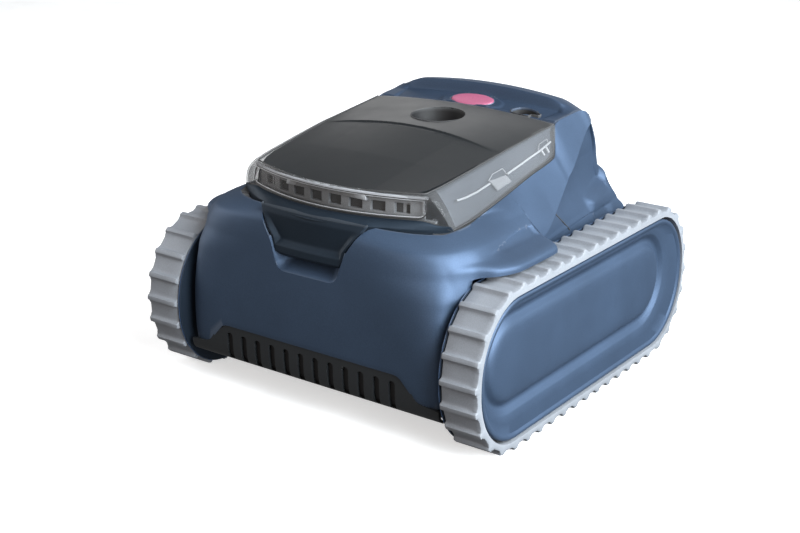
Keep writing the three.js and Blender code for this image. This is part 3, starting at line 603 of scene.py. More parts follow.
def side_x(y, z):
    """The shell's side beside the lid, without the fender."""
    low = 170.1
    v = np.clip((z - low) / (side_top_z(y) - low), 0, 1)
    bulge = np.interp(y, (NOSE_START_Y, 0, SPLIT_Y), (3, 1.6, 1.3))
    side = side_top_x(y) + (HULL_X - side_top_x(y)) * (1 - v**bulge)
    return blend(nose_width(z), side, ease(NOSE_START_Y, NOSE_START_Y + 40, y))


def crease_y(z):
    """Where the side turns to the recessed rear face, at height z."""
    risen = np.clip((z - CREASE_FOOT_Z) / (CREASE_TOP_Z - CREASE_FOOT_Z), 0, 1)
    return CREASE_START_Y + (SPLIT_Y - CREASE_START_Y) * risen


def crease_z(y):
    """Height of that same crease at distance y."""
    gone = np.clip((y - CREASE_START_Y) / (SPLIT_Y - CREASE_START_Y), 0, 1)
    return CREASE_FOOT_Z + (CREASE_TOP_Z - CREASE_FOOT_Z) * gone


def scoop_depth(y, z):
    """The groove between the side and the fender: it starts at nothing and widens backwards."""
    width = 7.5 * ease(-156, -62, y)
    inside = ease(180.2, 181.4, z) * (1 - ease(180.6 + width, 182.2 + width, z))
    return 3.4 * inside * ease(0.5, 4, width) * (1 - ease(-53, -49, y))


def shell_column_right(spot, levels):
    """Points up one column of the right half of the front shell. Spot says which stretch, and where on it."""
    kind, at = spot
    if kind == "front":
        bottom, middle, top = nose_bottom_z(at), 120, shell_top_z(at)
    elif kind == "corner":
        bottom, middle = nose_bottom_z(nose_corner(60, [at])[0][0]), 120
        top = np.interp(at, (0, 0.12, 1), (199.9, 199.5, 204))
    elif kind == "fender":
        bottom, middle, top = 100, 120, side_top_z(at)
    else:
        bottom, middle, top = crease_z(at) - 4, crease_z(at) - 2, side_top_z(at)
    points = []
    for share in levels:
        z = blend(bottom, middle, share) if share < 1 else blend(middle, top, share - 1)
        if kind == "front":
            x, y = at, nose_front_y(at, z)
        elif kind == "corner":
            x, y = nose_corner(z, [at])[0]
        else:
            x, y = side_x(at, z), at
        if kind != "side":
            x = x + fender_flare(y) * flare_share(z)
        if kind in ("corner", "fender"):
            x -= scoop_depth(y, z)
        points.append((x, y, z))
    return points


def front_shell():
    """The nose, its corners and fenders, and the sides back to the crease, over two track tunnels."""
    upper_levels = 1 + spans((0, 0.5, 13), (0.5, 0.84, 40), (0.84, 1, 20))
    levels = np.concatenate([np.linspace(0, 1, 10)[:-1], upper_levels])
    end_round = 6  # length over which the columns crowd towards the fender's end
    fender = -NOSE_START_Y + FENDER_END_Y - end_round
    spots = [("front", x) for x in spans((0, 30, 13), (30, 68, 40), (68, FRONT_FLAT_X, 32))[:-1]]
    spots += [("corner", t) for t in np.linspace(0, 1, 54)[:-1]]
    spots += [("fender", NOSE_START_Y + t * fender) for t in np.linspace(0, 1, 20)[:-1]]
    quarter_turn = np.linspace(0, math.pi / 2, 10)
    spots += [("fender", FENDER_END_Y - end_round * (1 - math.sin(t))) for t in quarter_turn]
    spots += [("side", y) for y in np.linspace(FENDER_END_Y + 0.6, SPLIT_Y - 0.5, 66)]
    right = np.array([shell_column_right(spot, levels) for spot in spots])
    left = right[:0:-1] * (-1, 1, 1)
    shell = sheet("main_shell_skin", np.concatenate([left, right]), 2.6)
    settle(shell)
    round_edges(shell, 0.9, 2, 55)
    for _suffix, side in SIDES:
        tunnel = prism("tunnel", loop_outline(LUG_TIP + 2.6, 150), 0, *across(side, 158.6, 215))
        combine(shell, tunnel, "DIFFERENCE")
    place(shell, NAVY, "hull", "navy_shell", "main_shell")


def lid_seat():
    """The black gasket on the hull that the lid's band comes down on."""
    spots = [("corner", t) for t in np.linspace(0, 1, 24)[:-1]]
    spots += [("fender", y) for y in np.linspace(NOSE_START_Y, FENDER_END_Y, 16)[:-1]]
    spots += [("side", y) for y in np.linspace(FENDER_END_Y, 62, 30)]
    seats = []
    for _suffix, side in SIDES:
        grid = []
        for spot in spots:
            x, y, z = shell_column_right(spot, [1.995])[0]
            inward = np.array([-x, -0.6 * min(y, 0), 0])
            inward = inward / np.linalg.norm(inward)
            top = np.array([x, y, z]) + 1.2 * inward
            grid.append([top * (side, 1, 1), (top + 15 * inward + (0, 0, -1.5)) * (side, 1, 1)])
        seats.append(sheet("seat", grid[::side], 1.2))
    place(join("lid_seat", seats), SEAL, "hull", "black_rubber")


# ------------------------------------------------------------------ handle recess and skirts
def handle_recess():
    """The finger recess under the lid's tab: a bowl with sloping sides and a flat back."""
    def ring(half_low, half_high, low, high, y_low, y_high, corner):
        turn = np.linspace(0, math.pi / 2, 7)
        right = [(half_high, y_high, high)]
        right += [
            (half_low + (half_high - half_low) * 0.15 - corner * (1 - math.cos(t)),
             y_low, low + corner * (1 - math.sin(t)))
            for t in turn
        ]
        left = [(-x, y, z) for x, y, z in right]
        return resample(left + right[::-1], 61)

    rings = [
        ring(39, 47.5, 145.2, 179, -202.6, -202.0, 11),
        ring(38.0, 46.3, 146.2, 179, -203.0, -202.2, 11),
        ring(36.6, 45.0, 147.6, 179, -201.9, -201.4, 10),
        ring(35.0, 43.3, 149.2, 179, -199.5, -199, 9),
        ring(25, 28, 156.5, 179, -188.2, -189, 3),
        ring(24, 27, 157.5, 179, -187, -188, 1.6),
        ring(1, 1, 172, 179, -187, -188, 0.2),
    ]
    recess = sheet("finger_recess", np.array(rings).transpose(1, 0, 2), 1.2)
    settle(recess, 24)
    place(recess, NAVY, "hull", "navy_shell", "handle_cup")


skirt_drop = curve((32.5, 9.5), (36, 4.2), (42, 1.2), (52, 0), (74, -0.6))  # the foot curls inwards
SLOT_COUNT = 12


def skirt(name, sign, face_y):
    """A slotted skirt panel whose foot curls inwards. Sign is -1 for the front, 1 for the back."""
    half_top = curve((32.5, 152), (46.8, 151.8), (49.5, 130), (61.5, 119.6), (72.5, 104.5))
    heights = np.concatenate([np.linspace(32.6, 46, 12), np.linspace(46.6, 74, 26)])
    shares = np.linspace(-1, 1, 121)
    columns = []
    for share in shares:
        column = []
        for z in heights:
            x = share * half_top(min(z, 72.4)) if z > 46.5 else share * 151.9
            column.append((x, face_y - sign * skirt_drop(z), z))
        columns.append(column)
    panel = sheet(name, columns[::-sign], 3)
    settle(panel)
    pitch, half_width, top, low = 18.15, 3.7, 65, 36
    depths = sorted((face_y - sign * 14, face_y + sign * 6))
    for i in range(SLOT_COUNT):
        middle = (i - (SLOT_COUNT - 1) / 2) * pitch
        outline = oval(middle, top - half_width, half_width, half_width, np.linspace(0, math.pi, 9))
        outline += [(middle - half_width, low), (middle + half_width, low)]
        combine(panel, prism("slot", outline, 1, *depths), "DIFFERENCE")
    round_edges(panel, 0.7, 2, 50)
    settle(panel)
    place(panel, SKIRT_BLACK, "hull", "black_plastic", name.replace("_panel", ""))


def slot_shade_sheet(name, sign, face_y):
    """A black sheet behind a skirt's slots, painted shade where the slots look into the dark inside. Sign is
    -1 for the front, 1 for the back.
    """
    grid = []
    for x in -sign * np.linspace(-108, 108, 33):
        grid.append([(x, face_y - sign * (3.6 + skirt_drop(z)), z) for z in np.linspace(32.6, 69, 22)])
    # Painted shade: a black sheet where the slots show the dark inside of the hull.
    wall = sheet(name, grid, 1.2)
    settle(wall)
    place(wall, SEAL, "hull", "black_plastic")


# ------------------------------------------------------------------ tracks
def belt(suffix, side):
    """A ribbed belt: low wide ridges with soft flanks, and dished lands between them."""
    land_share = 0.62  # of each pitch of the belt; the ridge takes the rest
    land = []
    for t in np.linspace(0, land_share, 7):
        land.append((t, BELT_LAND - 0.35 - 0.45 * math.sin(math.pi * t / land_share)))
    ridge = [
        (0.665, BELT_LAND + 0.5), (0.70, LUG_TIP - 0.9), (0.72, LUG_TIP - 0.15), (0.745, LUG_TIP),
        (0.81, LUG_TIP), (0.875, LUG_TIP), (0.90, LUG_TIP - 0.15), (0.92, LUG_TIP - 0.9),
        (0.955, BELT_LAND + 0.5),
    ]
    phases, heights = np.array(land + ridge).T
    count = LUG_COUNT * len(phases)
    steps = 64  # fine points along each pitch
    fine = loop_outline(0, LUG_COUNT * steps)
    ahead = np.roll(fine, -1, 0) - np.roll(fine, 1, 0)
    ahead /= np.linalg.norm(ahead, axis=1)[:, None]
    at = ((np.arange(LUG_COUNT)[:, None] + phases) * steps).ravel()

    def along(values, columns):
        knots = np.arange(len(values) + 1)
        return np.stack([np.interp(at, knots, np.append(values[:, k], values[0, k])) for k in columns], 1)

    base = along(fine, (0, 1))
    outward = along(ahead, (1, 0)) * (1, -1)
    outward /= np.linalg.norm(outward, axis=1)[:, None]

    def height(spread):
        wider = np.interp(phases, (0, 0.10, 0.52, 0.62, 0.71, 0.91, 0.999), (1, 0, 0, 1, 0, 0, 1)) * spread
        return np.tile(heights + wider * 9, LUG_COUNT)

    width = BELT_OUT - BELT_IN
    stations = [
        (0, 0, "inner"), (0.0, 1.6, "side"), (0.5, 0.5, "top"), (1.6, 0, "top"), (width * 0.35, 0, "top"),
        (width * 0.65, 0, "top"), (width - 9, 0, "top"), (width - 5.5, 0, "flare"), (width - 1.8, 0, "flare"),
        (width - 0.5, 0.5, "flare"), (width, 1.6, "edge"), (width, 0, "inner"),
    ]
    grid = []
    for inset, lowered, kind in stations:
        if kind == "inner":
            lift = np.full(count, float(BELT_INNER))
        else:
            spread = 0.16 if kind in ("flare", "edge") else 0
            lift = height(spread * ease(width - 9, width - 1.8, inset)) - lowered
        ring = base + outward * lift[:, None]
        grid.append(np.column_stack([np.full(count, side * (BELT_IN + inset)), ring]))
    grid = np.array(grid)
    grid[..., 0] = np.minimum(grid[..., 0], BELT_OUT)
    grid[..., 2] = np.maximum(grid[..., 2], 0.0)
    piece = surface("belt_" + suffix, grid.transpose(1, 0, 2), wrap_columns=True, wrap_rows=True)
    face_outwards(piece)
    settle(piece, 40)
    place(piece, BELT, "hull", "belt_rubber", "track_belt_" + suffix)


def rounded_box_outline(low_y, high_y, low_z, high_z, radius, count):
    """Evenly spaced points round a rectangle with round corners, from the middle of its rear end."""
    turn = np.linspace(0, math.pi / 2, 14)
    points = []
    corners = ((high_y, high_z), (low_y, high_z), (low_y, low_z), (high_y, low_z))
    for quarter, (y, z) in enumerate(corners):
        centre_y = y - radius if quarter in (0, 3) else y + radius
        centre_z = z - radius if quarter < 2 else z + radius
        angle = turn + quarter * math.pi / 2
        points.append(np.stack([centre_y + radius * np.cos(angle), centre_z + radius * np.sin(angle)], 1))
    outline = np.concatenate(points)
    start = np.array([[high_y, (low_z + high_z) / 2]])
    return resample(np.concatenate([start, outline]), count, closed=True)


def side_cover(suffix, side):
    """The moulded cover: a bevelled rim, a flat border, a soft groove and a pillowed panel."""
    count = 260
    edge = resample(np.concatenate([[[LOOP_HALF_LENGTH, AXLE_Z]], loop_outline(0)]), count, closed=True)
    centre = np.array([0, AXLE_Z])

    def rim(inset):
        reach = np.array([LOOP_HALF_LENGTH, LOOP_HALF_HEIGHT])
        return centre + (edge - centre) * (reach - inset) / reach

    def groove(grow):
        middle_z, half = 92.25, 43.25 + grow
        radius = min(42 + grow, half - 0.6)
        return rounded_box_outline(-193 - grow, 155 + grow, middle_z - half, middle_z + half, radius, count)

    rings = [
        (rim(4.6), 193), (rim(4.6), 197.6), (rim(5.0), 198.6), (rim(5.8), 199.3), (rim(7.2), 199.5),
        (rim(8.8), 198.9), (rim(10.2), 197.6), (blend(rim(11), groove(11), 0.6), 197.4),
        (groove(9), 197.2), (groove(7.2), 196.4), (groove(4.5), 193.6), (groove(2.2), 192.3),
        (groove(-0.5), 192.2), (groove(-2.4), 193.4), (groove(-4.6), 195.8), (groove(-7), 197.2),
        (groove(-11), 198.2),
        (groove(-18), 198.7), (groove(-25), 198.9), (groove(-31), 199.0),
    ]
    grid = [np.column_stack([np.full(count, side * x), ring]) for ring, x in rings]
    grid = np.array(grid).transpose(1, 0, 2)
    faces = grid_faces(count, len(rings), wrap_columns=True)
    faces.append([column * len(rings) + len(rings) - 1 for column in range(count)])
    cover = mesh_object("side_cover_skin_" + suffix, grid.reshape(-1, 3), faces)
    if side < 0:
        cover.data.flip_normals()
    settle(cover)
    place(cover, NAVY, "hull", "navy_shell", "side_cover_" + suffix)
    seal = prism("cover_seal_" + suffix, rim(2.7), 0, *across(side, 190.5, 191.9))
    place(seal, SEAL, "hull", "black_rubber")


def track_guard(suffix, side):
    """The inner plate of the track, with a fine bright rim line."""
    outline = loop_outline(3.6, 160)
    plate = prism("guard_" + suffix, outline, 0, *across(side, 157.6, 160.2))
    round_edges(plate, 0.8, 2, 50)
    settle(plate)
    bosses = []
    for y in (-50, 0, 50):
        circle = oval(y, AXLE_Z, 7, 7, full_turn(24))
        bosses.append(prism("boss", circle, 0, *across(side, 159, 192)))
    plate = join("track_guard_" + suffix, [plate, *bosses])
    place(plate, GUARD_NAVY, "hull", "navy_shell", "track_frame_" + suffix)
    path = [(side * 158.9, y, z) for y, z in loop_outline(4.0, 200)]
    line = tube("guard_line_" + suffix, path, 0.4, 6, closed=True)
    place(line, RIM_BLUE, "hull", "navy_shell")


# ------------------------------------------------------------------ rear shell
rear_y = curve(
    (47, 191.5), (110, 190), (150, 187), (170, 178), (195, 166), (225, 157), (245, 147), (262, 134),
)
rear_corner_x = curve(
    (47, 150), (110, 149), (150, 140), (160, 132), (170, 126), (195, 120), (216, 118), (256, 118), (262, 115),
)
rear_corner_y = curve(
    (47, 176), (110, 177), (150, 176), (160, 171), (170, 158), (195, 148), (216, 146), (240, 138), (262, 127),
)


def crease_point(z):
    """The crease between the front shell's side and the recessed rear face."""
    y = crease_y(z)
    return float(side_x(y, min(z, side_top_z(y)))), float(y)


def pod_height(y, z):
    """How far the raised block low on the rear corner stands proud, with a slot under it."""
    top_z = np.interp(y, (96, 150, 160), (177, 188, 204))
    behind_edge = (y - 96) * 0.914 + (z - 176) * 0.406
    raised = ease(-1, 10, top_z - z) * ease(-1, 7, behind_edge) * ease(156, 170, z)
    slot = ease(108, 114, y) * (1 - ease(144, 156, y)) * (1 - ease(157.5, 159, z)) * ease(149, 151, z)
    return 6.5 * raised - 4.0 * slot


def rear_point(kind, share, z):
    """A point of the rear shell: on the recessed side face, or round the back."""
    start_x, start_y = crease_point(z) if z > 160 else (HULL_X - 3, float(CREASE_START_Y))
    start = np.array([start_x - 1.0, start_y - 1.0])
    corner = np.array([min(rear_corner_x(z), start[0]), max(rear_corner_y(z), start[1] + 3)])
    back = max(rear_y(z), corner[1] + 3)
    if kind == "side":
        x, y = blend(start, corner, share)
        hollow = 4 * math.sin(math.pi * share) * ease(165, 200, z)
        step = 2.6 * ease(0, 0.05, share) * ease(166, 186, z)
        x -= (hollow + step) * (1 - ease(238, 256, z))
        proud = pod_height(y, z)
    else:
        angle = share * math.pi / 2
        x = corner[0] * math.cos(angle) ** 0.5
        y = corner[1] + (back - corner[1]) * math.sin(angle) ** 0.7
        proud = pod_height(y, z) * (1 - ease(0.25, 0.6, share))
    return x + 0.8 * proud, y + 0.55 * proud, z


def rear_shell():
    """The rear of the hull: a recessed face behind the crease, a pod on the corner and the upswept rim."""
    heights = spans((47, 146, 20), (146, 206, 61), (206, REAR_TOP_Z, 34))
    side_count = 70
    columns = [("side", share) for share in np.linspace(0, 1, side_count)[:-1]]
    columns += [("back", share) for share in np.linspace(0, 1, side_count)]
    right = np.array([[rear_point(kind, share, z) for z in heights] for kind, share in columns])
    lift = rim_height(right[..., 0], right[..., 1]) - 0.4 - REAR_TOP_Z
    right[..., 2] += lift * ease(225, REAR_TOP_Z, right[..., 2])
    left = right[-2::-1] * (-1, 1, 1)
    shell = sheet("rear_shell_skin", np.concatenate([right, left]), 2.4)
    arch = [(-105, 72.2), (105, 72.2), (110, 69.5), (121, 57), (127, 50.6), (131, 49), (152, 47.4)]
    arch += [(152, 40), (-152, 40)] + [(-x, z) for x, z in arch[:1:-1]]
    combine(shell, prism("arch", arch, 1, 150, 230), "DIFFERENCE")
    round_edges(shell, 0.8, 2, 60)
    settle(shell, 34)
    place(shell, NAVY, "hull", "navy_shell", "rear_shell")
    side_face_seams(right[:side_count].reshape(-1, 3))


def side_face_seams(face):
    """The black joint line across each recessed side face, laid on that face's points."""
    for suffix, side in SIDES:
        path = []
        for t in np.linspace(0, 1, 24):
            y, z = blend(9, 47, t), blend(187, 157, t)
            x = face[np.argmin(np.hypot(face[:, 1] - y, face[:, 2] - z)), 0]
            path.append((x, y, z))
        path = np.array(path)
        path[:, 0] = np.poly1d(np.polyfit(path[:, 1], path[:, 0], 3))(path[:, 1]) * side
        seam = tube("shell_seam_" + suffix, path, 0.75, 6)
        place(seam, SEAL, "hull", "black_rubber")


# ------------------------------------------------------------------ deck
PORT_X, PORT_Y = 66, 83
BUTTON_Y = 86
BUTTON_HALF = (25.7, 14.6)


def deck_floor(x, y):
    return 263.3 - 5.5 * squared(x) + 0.17 * (y - DECK_FRONT_Y)


def rim_height(x, y):
    """The upswept rear rim: highest in the middle and falling away backwards and at its corners."""
    corner_fall = 6.9 * ease(80, 116, np.abs(x))
    return 280.4 - 8.1 * squared(x) - corner_fall - 5 * ease(115, 136, y)


def deck_height(x, y):
    """The deck: a tray with a rolled front lip, raised side borders and the upswept rim behind."""
    floor = deck_floor(x, y) - 1.3 * ease(DECK_FRONT_Y + 2, DECK_FRONT_Y + 9, y)
    plateau = np.hypot(x / 39, (y - BUTTON_Y + 2) / 20)
    floor += 1.5 * (1 - ease(0.9, 1.02, plateau))
    border = ease(90.5, 94, np.abs(x) - 0.14 * (y - DECK_FRONT_Y))
    edge = 260.4 + 0.07 * (y - DECK_FRONT_Y)
    height = blend(floor, edge, border)
    wall_y = 104.2 + 2.4 * squared(x)
    wide = ease(94, 102, np.abs(x))
    height = blend(height, rim_height(x, y), ease(wall_y - 3.2 - 7 * wide, wall_y + 2.6 + 6 * wide, y))
    shell_edge = side_top_z(np.minimum(y, SPLIT_Y)) + 0.3
    height = np.where(np.abs(x) > side_top_x(y) - 2, np.minimum(height, shell_edge), height)
    return height - 4 * (1 - ease(0, 2.2, y - DECK_FRONT_Y)) ** 2


def deck():
    """The deck with its button hole and port opening."""
    grid = []
    for share in np.linspace(-1, 1, 149):
        column = []
        for y in spans((DECK_FRONT_Y, 98, 34), (98, 132, 56)):
            x = share * (side_top_x(min(y, SPLIT_Y)) - 0.7)
            column.append((x, y, deck_height(x, y)))
        grid.append(column)
    tray = sheet("deck_skin", grid, 2.2)
    button_hole = oval(0, BUTTON_Y, BUTTON_HALF[0] + 0.9, BUTTON_HALF[1] + 0.9, full_turn(60))
    combine(tray, prism("button_hole", button_hole, 2, 240, 290), "DIFFERENCE")
    port = oval(PORT_X, PORT_Y, 14.5, 11.5, full_turn(60)[2:48])
    port += [
        (PORT_X + 5, PORT_Y - 13), (PORT_X + 11.5, PORT_Y - 13), (PORT_X + 11.5, PORT_Y - 6),
        (PORT_X + 19, PORT_Y - 5), (PORT_X + 19, PORT_Y),
    ]
    combine(tray, prism("port_hole", port, 2, 240, 290), "DIFFERENCE")
    round_edges(tray, 0.6, 2, 50)
    settle(tray)
    place(tray, DECK_BLUE, "hull", "deck_blue", "top_deck")
    charging_port(port)


def charging_port(port):
    """The dark cup under the deck's port opening, its two contacts and the tongue in front."""
    rings = []
    for share, z in ((1.03, 262.6), (1.03, 252), (0.9, 248.5), (0.5, 247.6), (0.05, 247.4)):
        ring = (np.array(port) - (PORT_X, PORT_Y)) * share + (PORT_X, PORT_Y)
        rings.append(np.column_stack([ring, np.full(len(ring), z)]))
    well = surface("port_well", np.array(rings).transpose(1, 0, 2)[::-1], wrap_columns=True)
    thicken(well, -0.8)
    pins = []
    for x in (PORT_X - 2.6, PORT_X + 2.6):
        pins.append(prism("contact", oval(x, PORT_Y, 1.1, 1.1, full_turn(12)), 2, 247.5, 255))
    well = join("port_cup", [well, *pins])
    place(well, SEAL, "hull", "black_plastic", "charge_port")
    outline = [
        (PORT_X + 1, PORT_Y - 12.6), (PORT_X + 9, PORT_Y - 12.2),
        (PORT_X + 9, PORT_Y - 4), (PORT_X + 3, PORT_Y - 5),
    ]
    tongue = prism("port_tongue", outline, 2, 256, 261.4)
    round_edges(tongue, 0.8)
    settle(tongue)
    place(tongue, DECK_BLUE, "hull", "deck_blue")


def power_button():
    """A softly domed oval cap, tilted with the deck, and the dark ring it sits in."""
    turn = full_turn(72)
    half_x, half_y = BUTTON_HALF
    section = (
        (0.99, -5), (0.99, -1.2), (0.975, -0.4), (0.94, 0),
        (0.88, 0.25), (0.7, 0.5), (0.4, 0.7), (0.02, 0.75),
    )
    rings = []
    for share, rise in section:
        outline = oval(0, BUTTON_Y, half_x * share, half_y * share, turn)
        rings.append([(x, y, deck_floor(0, y) + 0.9 + rise) for x, y in outline])
    cap = surface("button_cap", np.array(rings).transpose(1, 0, 2), wrap_columns=True)
    settle(cap, 50)
    place(cap, PINK, "button", "button_pink", "power_button")
    path = [(x, y, deck_floor(x, y) + 0.1) for x, y in oval(0, BUTTON_Y, half_x + 0.6, half_y + 0.3, turn)]
    ring = tube("button_ring", path, 0.45, 8, closed=True)
    place(ring, STEEL_BLUE, "hull", "deck_blue")


# ------------------------------------------------------------------ lid
def panel_relief(x, y):
    """The panel's facets: a sunk middle with an arched step behind it, and sloping side planes."""
    arc_y = -27.5 - 9 * squared(x)
    crease_x = np.interp(y, (-162, -38), (50, 58))
    in_front = 1 - ease(arc_y - 0.8, arc_y + 0.4, y)
    facet = -1.5 + 0.034 * np.maximum(np.abs(x) - crease_x, 0)
    return in_front * facet


def panel_front_y(x):
    return -174.6 + 24.1 * squared(x)


def lid_panel():
    """The dark faceted panel with the water outlet's hole and its hinge knuckles."""
    rows = spans((0, 0.5, 60), (0.5, 0.66, 46), (0.66, 1, 40))
    grid = []
    for share in np.linspace(-1, 1, 141):
        column = []
        for row in rows:
            x = share * panel_edge_x(blend(-170, 66, row))
            front = panel_front_y(x) + 9 * max(abs(share) - 0.92, 0) ** 2 / 0.08**2
            y = blend(front, PANEL_REAR_Y, row)
            column.append((x, y, panel_z(x, y) + panel_relief(x, y)))
        grid.append(column)
    panel = sheet("lid_panel_skin", grid, 2.2)
    settle(panel)
    hole = oval(0, OUTLET_Y, OUTLET_RADIUS, OUTLET_RADIUS, full_turn(72))
    combine(panel, prism("outlet_hole", hole, 2, 230, 300), "DIFFERENCE")
    round_edges(panel, 0.8, 3, 55)
    settle(panel, 30)
    knuckles = []
    for _suffix, side in SIDES:
        circle = oval(HINGE_Y, HINGE_Z, 2.2, 2.2, full_turn(18))
        knuckles.append(prism("knuckle", circle, 0, *across(side, 34, 50)))
    panel = join("lid_panel_piece", [panel, *knuckles])
    place(panel, CHARCOAL, "lid", "charcoal_panel", "lid_panel")


def band_edges(reach):
    """Lower and upper edge of the right half of the clear band, from the front's middle to its rear end."""
    if reach <= 0.5:
        t = reach / 0.5
        low_x, high_x = 122.6 * t, 100.5 * t
        low_z = np.interp(low_x, (0, 96, 108, 116, 122.6), (209.4, 210.4, 208.4, 204.6, 202.8))
        low = np.array([low_x, -178.9 + 23.2 * squared(low_x), low_z])
        front = panel_front_y(high_x) - 1.1
        return low, np.array([high_x, front, panel_z(high_x, front) + 0.2])
    t = (reach - 0.5) / 0.5
    low_y = blend(-143.9, 45, t)
    low = np.array([123.9 + 0.8 * math.sin(math.pi * t), low_y, side_top_z(min(low_y, 42)) + 1.3])
    high_y = blend(-151, HINGE_Y, t)
    edge_x = panel_edge_x(high_y)
    return low, np.array([edge_x + blend(0, 0.8, min(t * 8, 1)), high_y, panel_z(edge_x, high_y) + 0.2])


def band_point(reach, v, sink=0.0):
    """A point of the band: a steep flank, and a shoulder that runs in to the panel's edge."""
    low, high = band_edges(reach)
    corner = math.exp(-(((reach - 0.5) / 0.09) ** 2))
    beside = ease(0.44, 0.52, reach)
    shoulder = high + np.array([4.6 * beside * (1 - 0.6 * ease(0.6, 1, reach)), -1.6 * corner, -0.8 * beside])
    flank = 0.84
    if v < flank:
        share = v / flank
        point = blend(low, shoulder, share)
        bow = (1.2 + 3.2 * corner) * math.sin(math.pi * share) ** 0.8
    else:
        point = blend(shoulder, high, (v - flank) / (1 - flank))
        bow = 0.35 * math.sin(math.pi * (v - flank) / (1 - flank))
    outward = np.array([0.75 if reach > 0.42 else 0.0, -0.55 if reach < 0.6 else 0.0, 0.5])
    outward = outward / np.linalg.norm(outward)
    return point + outward * (bow - sink)


def clear_band():
    """The smoked clear band round the lid, and the grey liner that shows through its sides."""
    reaches = spans((0, 0.38, 40), (0.38, 0.62, 44), (0.62, 1, 40))
    rows = np.linspace(0, 1, 22)
    half = np.array([[band_point(r, v) for v in rows] for r in reaches])
    other = half[:0:-1] * (-1, 1, 1)
    band = sheet("clear_band", np.concatenate([other, half]), 2.0)
    round_edges(band, 0.7, 2, 60)
    settle(band)
    combine(band, prism("window_cut", window_outline(0), 1, -230, -140), "DIFFERENCE")
    place(band, SMOKE, "lid", "clear_smoke", "lid_window")

    rows = np.linspace(0.02, 0.97, 12)
    inner = np.array([[band_point(r, v, 6.2) for v in rows] for r in reaches if r > 0.53])
    liners = [sheet("liner", (inner * (side, 1, 1))[::side], 1) for _suffix, side in SIDES]
    place(join("band_liner", liners), LINER, "hull", "grey_plastic")


def latch_rods():
    """The pale rod, guide box and clip that show through the band on each side."""
    for suffix, side in SIDES:
        def spots(*places, sink=2.5):
            return [band_point(r, v, sink) * (side, 1, 1) for r, v in places]

        def strand(name, places, radius):
            reach, rise = np.array(places).T
            fine = np.linspace(0, len(places) - 1, 6 * len(places))
            steps = np.arange(len(places))
            path = spots(*zip(np.interp(fine, steps, reach), np.interp(fine, steps, rise)))
            return tube(name, path, radius, 8)

        pieces = [
            strand("rod_front", ((0.565, 0.50), (0.597, 0.46), (0.647, 0.43), (0.700, 0.43)), 1.1),
            strand("rod_rear", ((0.775, 0.38), (0.847, 0.38), (0.930, 0.40), (0.985, 0.45)), 1.1),
            strand("guide_edge", ((0.698, 0.50), (0.718, 0.58), (0.760, 0.56), (0.772, 0.40)), 0.5),
            strand("clip_edge", ((0.925, 0.42), (0.930, 0.58), (0.968, 0.59), (0.975, 0.44)), 0.5),
            strand("clip_leg", ((0.940, 0.38), (0.955, 0.22)), 1.3),
            strand("clip_foot", ((0.962, 0.40), (0.978, 0.20)), 1.3),
        ]
        quad = np.array([[(0.727, 0.18), (0.700, 0.49)], [(0.793, 0.15), (0.770, 0.38)]])
        grid = []
        for u in np.linspace(0, 1, 9):
            low, high = blend(quad[0, 0], quad[1, 0], u), blend(quad[0, 1], quad[1, 1], u)
            grid.append(spots(*[blend(low, high, v) for v in np.linspace(0, 1, 7)], sink=2.3))
        box = sheet("guide_box", grid[::side], 1.2)
        round_edges(box, 0.5)
        rods = join("latch_rod_" + suffix, [*pieces, box])
        place(rods, ROD, "basket", "pale_nylon", "basket_rod_" + suffix)


def window_outline(grow):
    """Outline (x, z) of the clear insert in the front of the band: long, with round right and left ends."""
    half = 103.2 + grow
    outline = []
    for x in np.linspace(-half + 5, half - 5, 40):
        outline.append((x, 210.6 - grow + 1.0 * squared(x)))
    for t in np.linspace(-math.pi / 2, 0, 6)[1:]:
        outline.append((half - 5 + 5 * math.cos(t), 217 + 5 * math.sin(t) - grow * (t < -1)))
    for x in np.linspace(half - 2, -half + 2, 40):
        outline.append((x, 229.9 + grow - 1.1 * squared(x)))
    for t in np.linspace(-math.pi, -math.pi / 2, 6)[:-1]:
        outline.append((-half + 5 + 5 * math.cos(t), 217 + 5 * math.sin(t) - grow * (t > -2)))
    return outline


def window_y(x, z):
    """Depth of the front window's outer face."""
    low = -178.9 + 23.2 * squared(x)
    high = panel_front_y(x) - 1.1
    return blend(low, high, np.clip((z - 209) / 22, 0, 1)) - 0.9


def front_window():
    """The clear pane in the band's front, its black gasket and the pale line inside it, a painted highlight
    on the pane's edge.
    """
    half = 102.3
    grid = []
    for x in np.linspace(-half, half, 90):
        heights = blend(211.8 + 1.0 * squared(x), 229.0 - 1.1 * squared(x), np.linspace(0, 1, 14))
        grid.append([(x, window_y(x, z) + 0.2, z) for z in heights])
    pane = sheet("front_window", grid, 1.6)
    round_edges(pane, 0.7, 2, 60)
    settle(pane)
    place(pane, WINDOW, "lid", "clear_smoke")
    # The pale line just inside the gasket is a painted highlight along the pane's bevelled edge.
    for name, grow, radius, look in (("window_gasket", 0.1, 0.85, SEAL), ("window_edge_highlight", -1.1, 0.42, ROD)):
        outline = resample(window_outline(grow), 180, closed=True)
        path = [(x, window_y(x, z) - 0.1, z) for x, z in outline]
        line = tube(name, path, radius, 6, closed=True)
        place(line, look, "lid", "black_rubber" if look is SEAL else "pale_nylon")


def window_rim():
    """The moulded rim between the clear insert and the panel, in opaque light grey: a painted reflection on
    its clear plastic.
    """
    section = [(0.6, -1.2), (-2.2, -2.0), (-3.6, -1.2), (-3.4, 0.2), (-2.0, 0.9), (0.4, 0.9)]
    rows = []
    for x in np.linspace(-102.5, 102.5, 90):
        y, z = panel_front_y(x), 231.6 - 1.1 * squared(x)
        rows.append([(x, y + dy, z + dz) for dy, dz in section])
    rim = surface("window_rim", np.array(rows), wrap_rows=True)
    settle(rim, 50)
    # The light grey here is a painted reflection, not the rim's own colour.
    place(rim, RIM_REFLECTION_GREY, "lid", "clear_smoke")


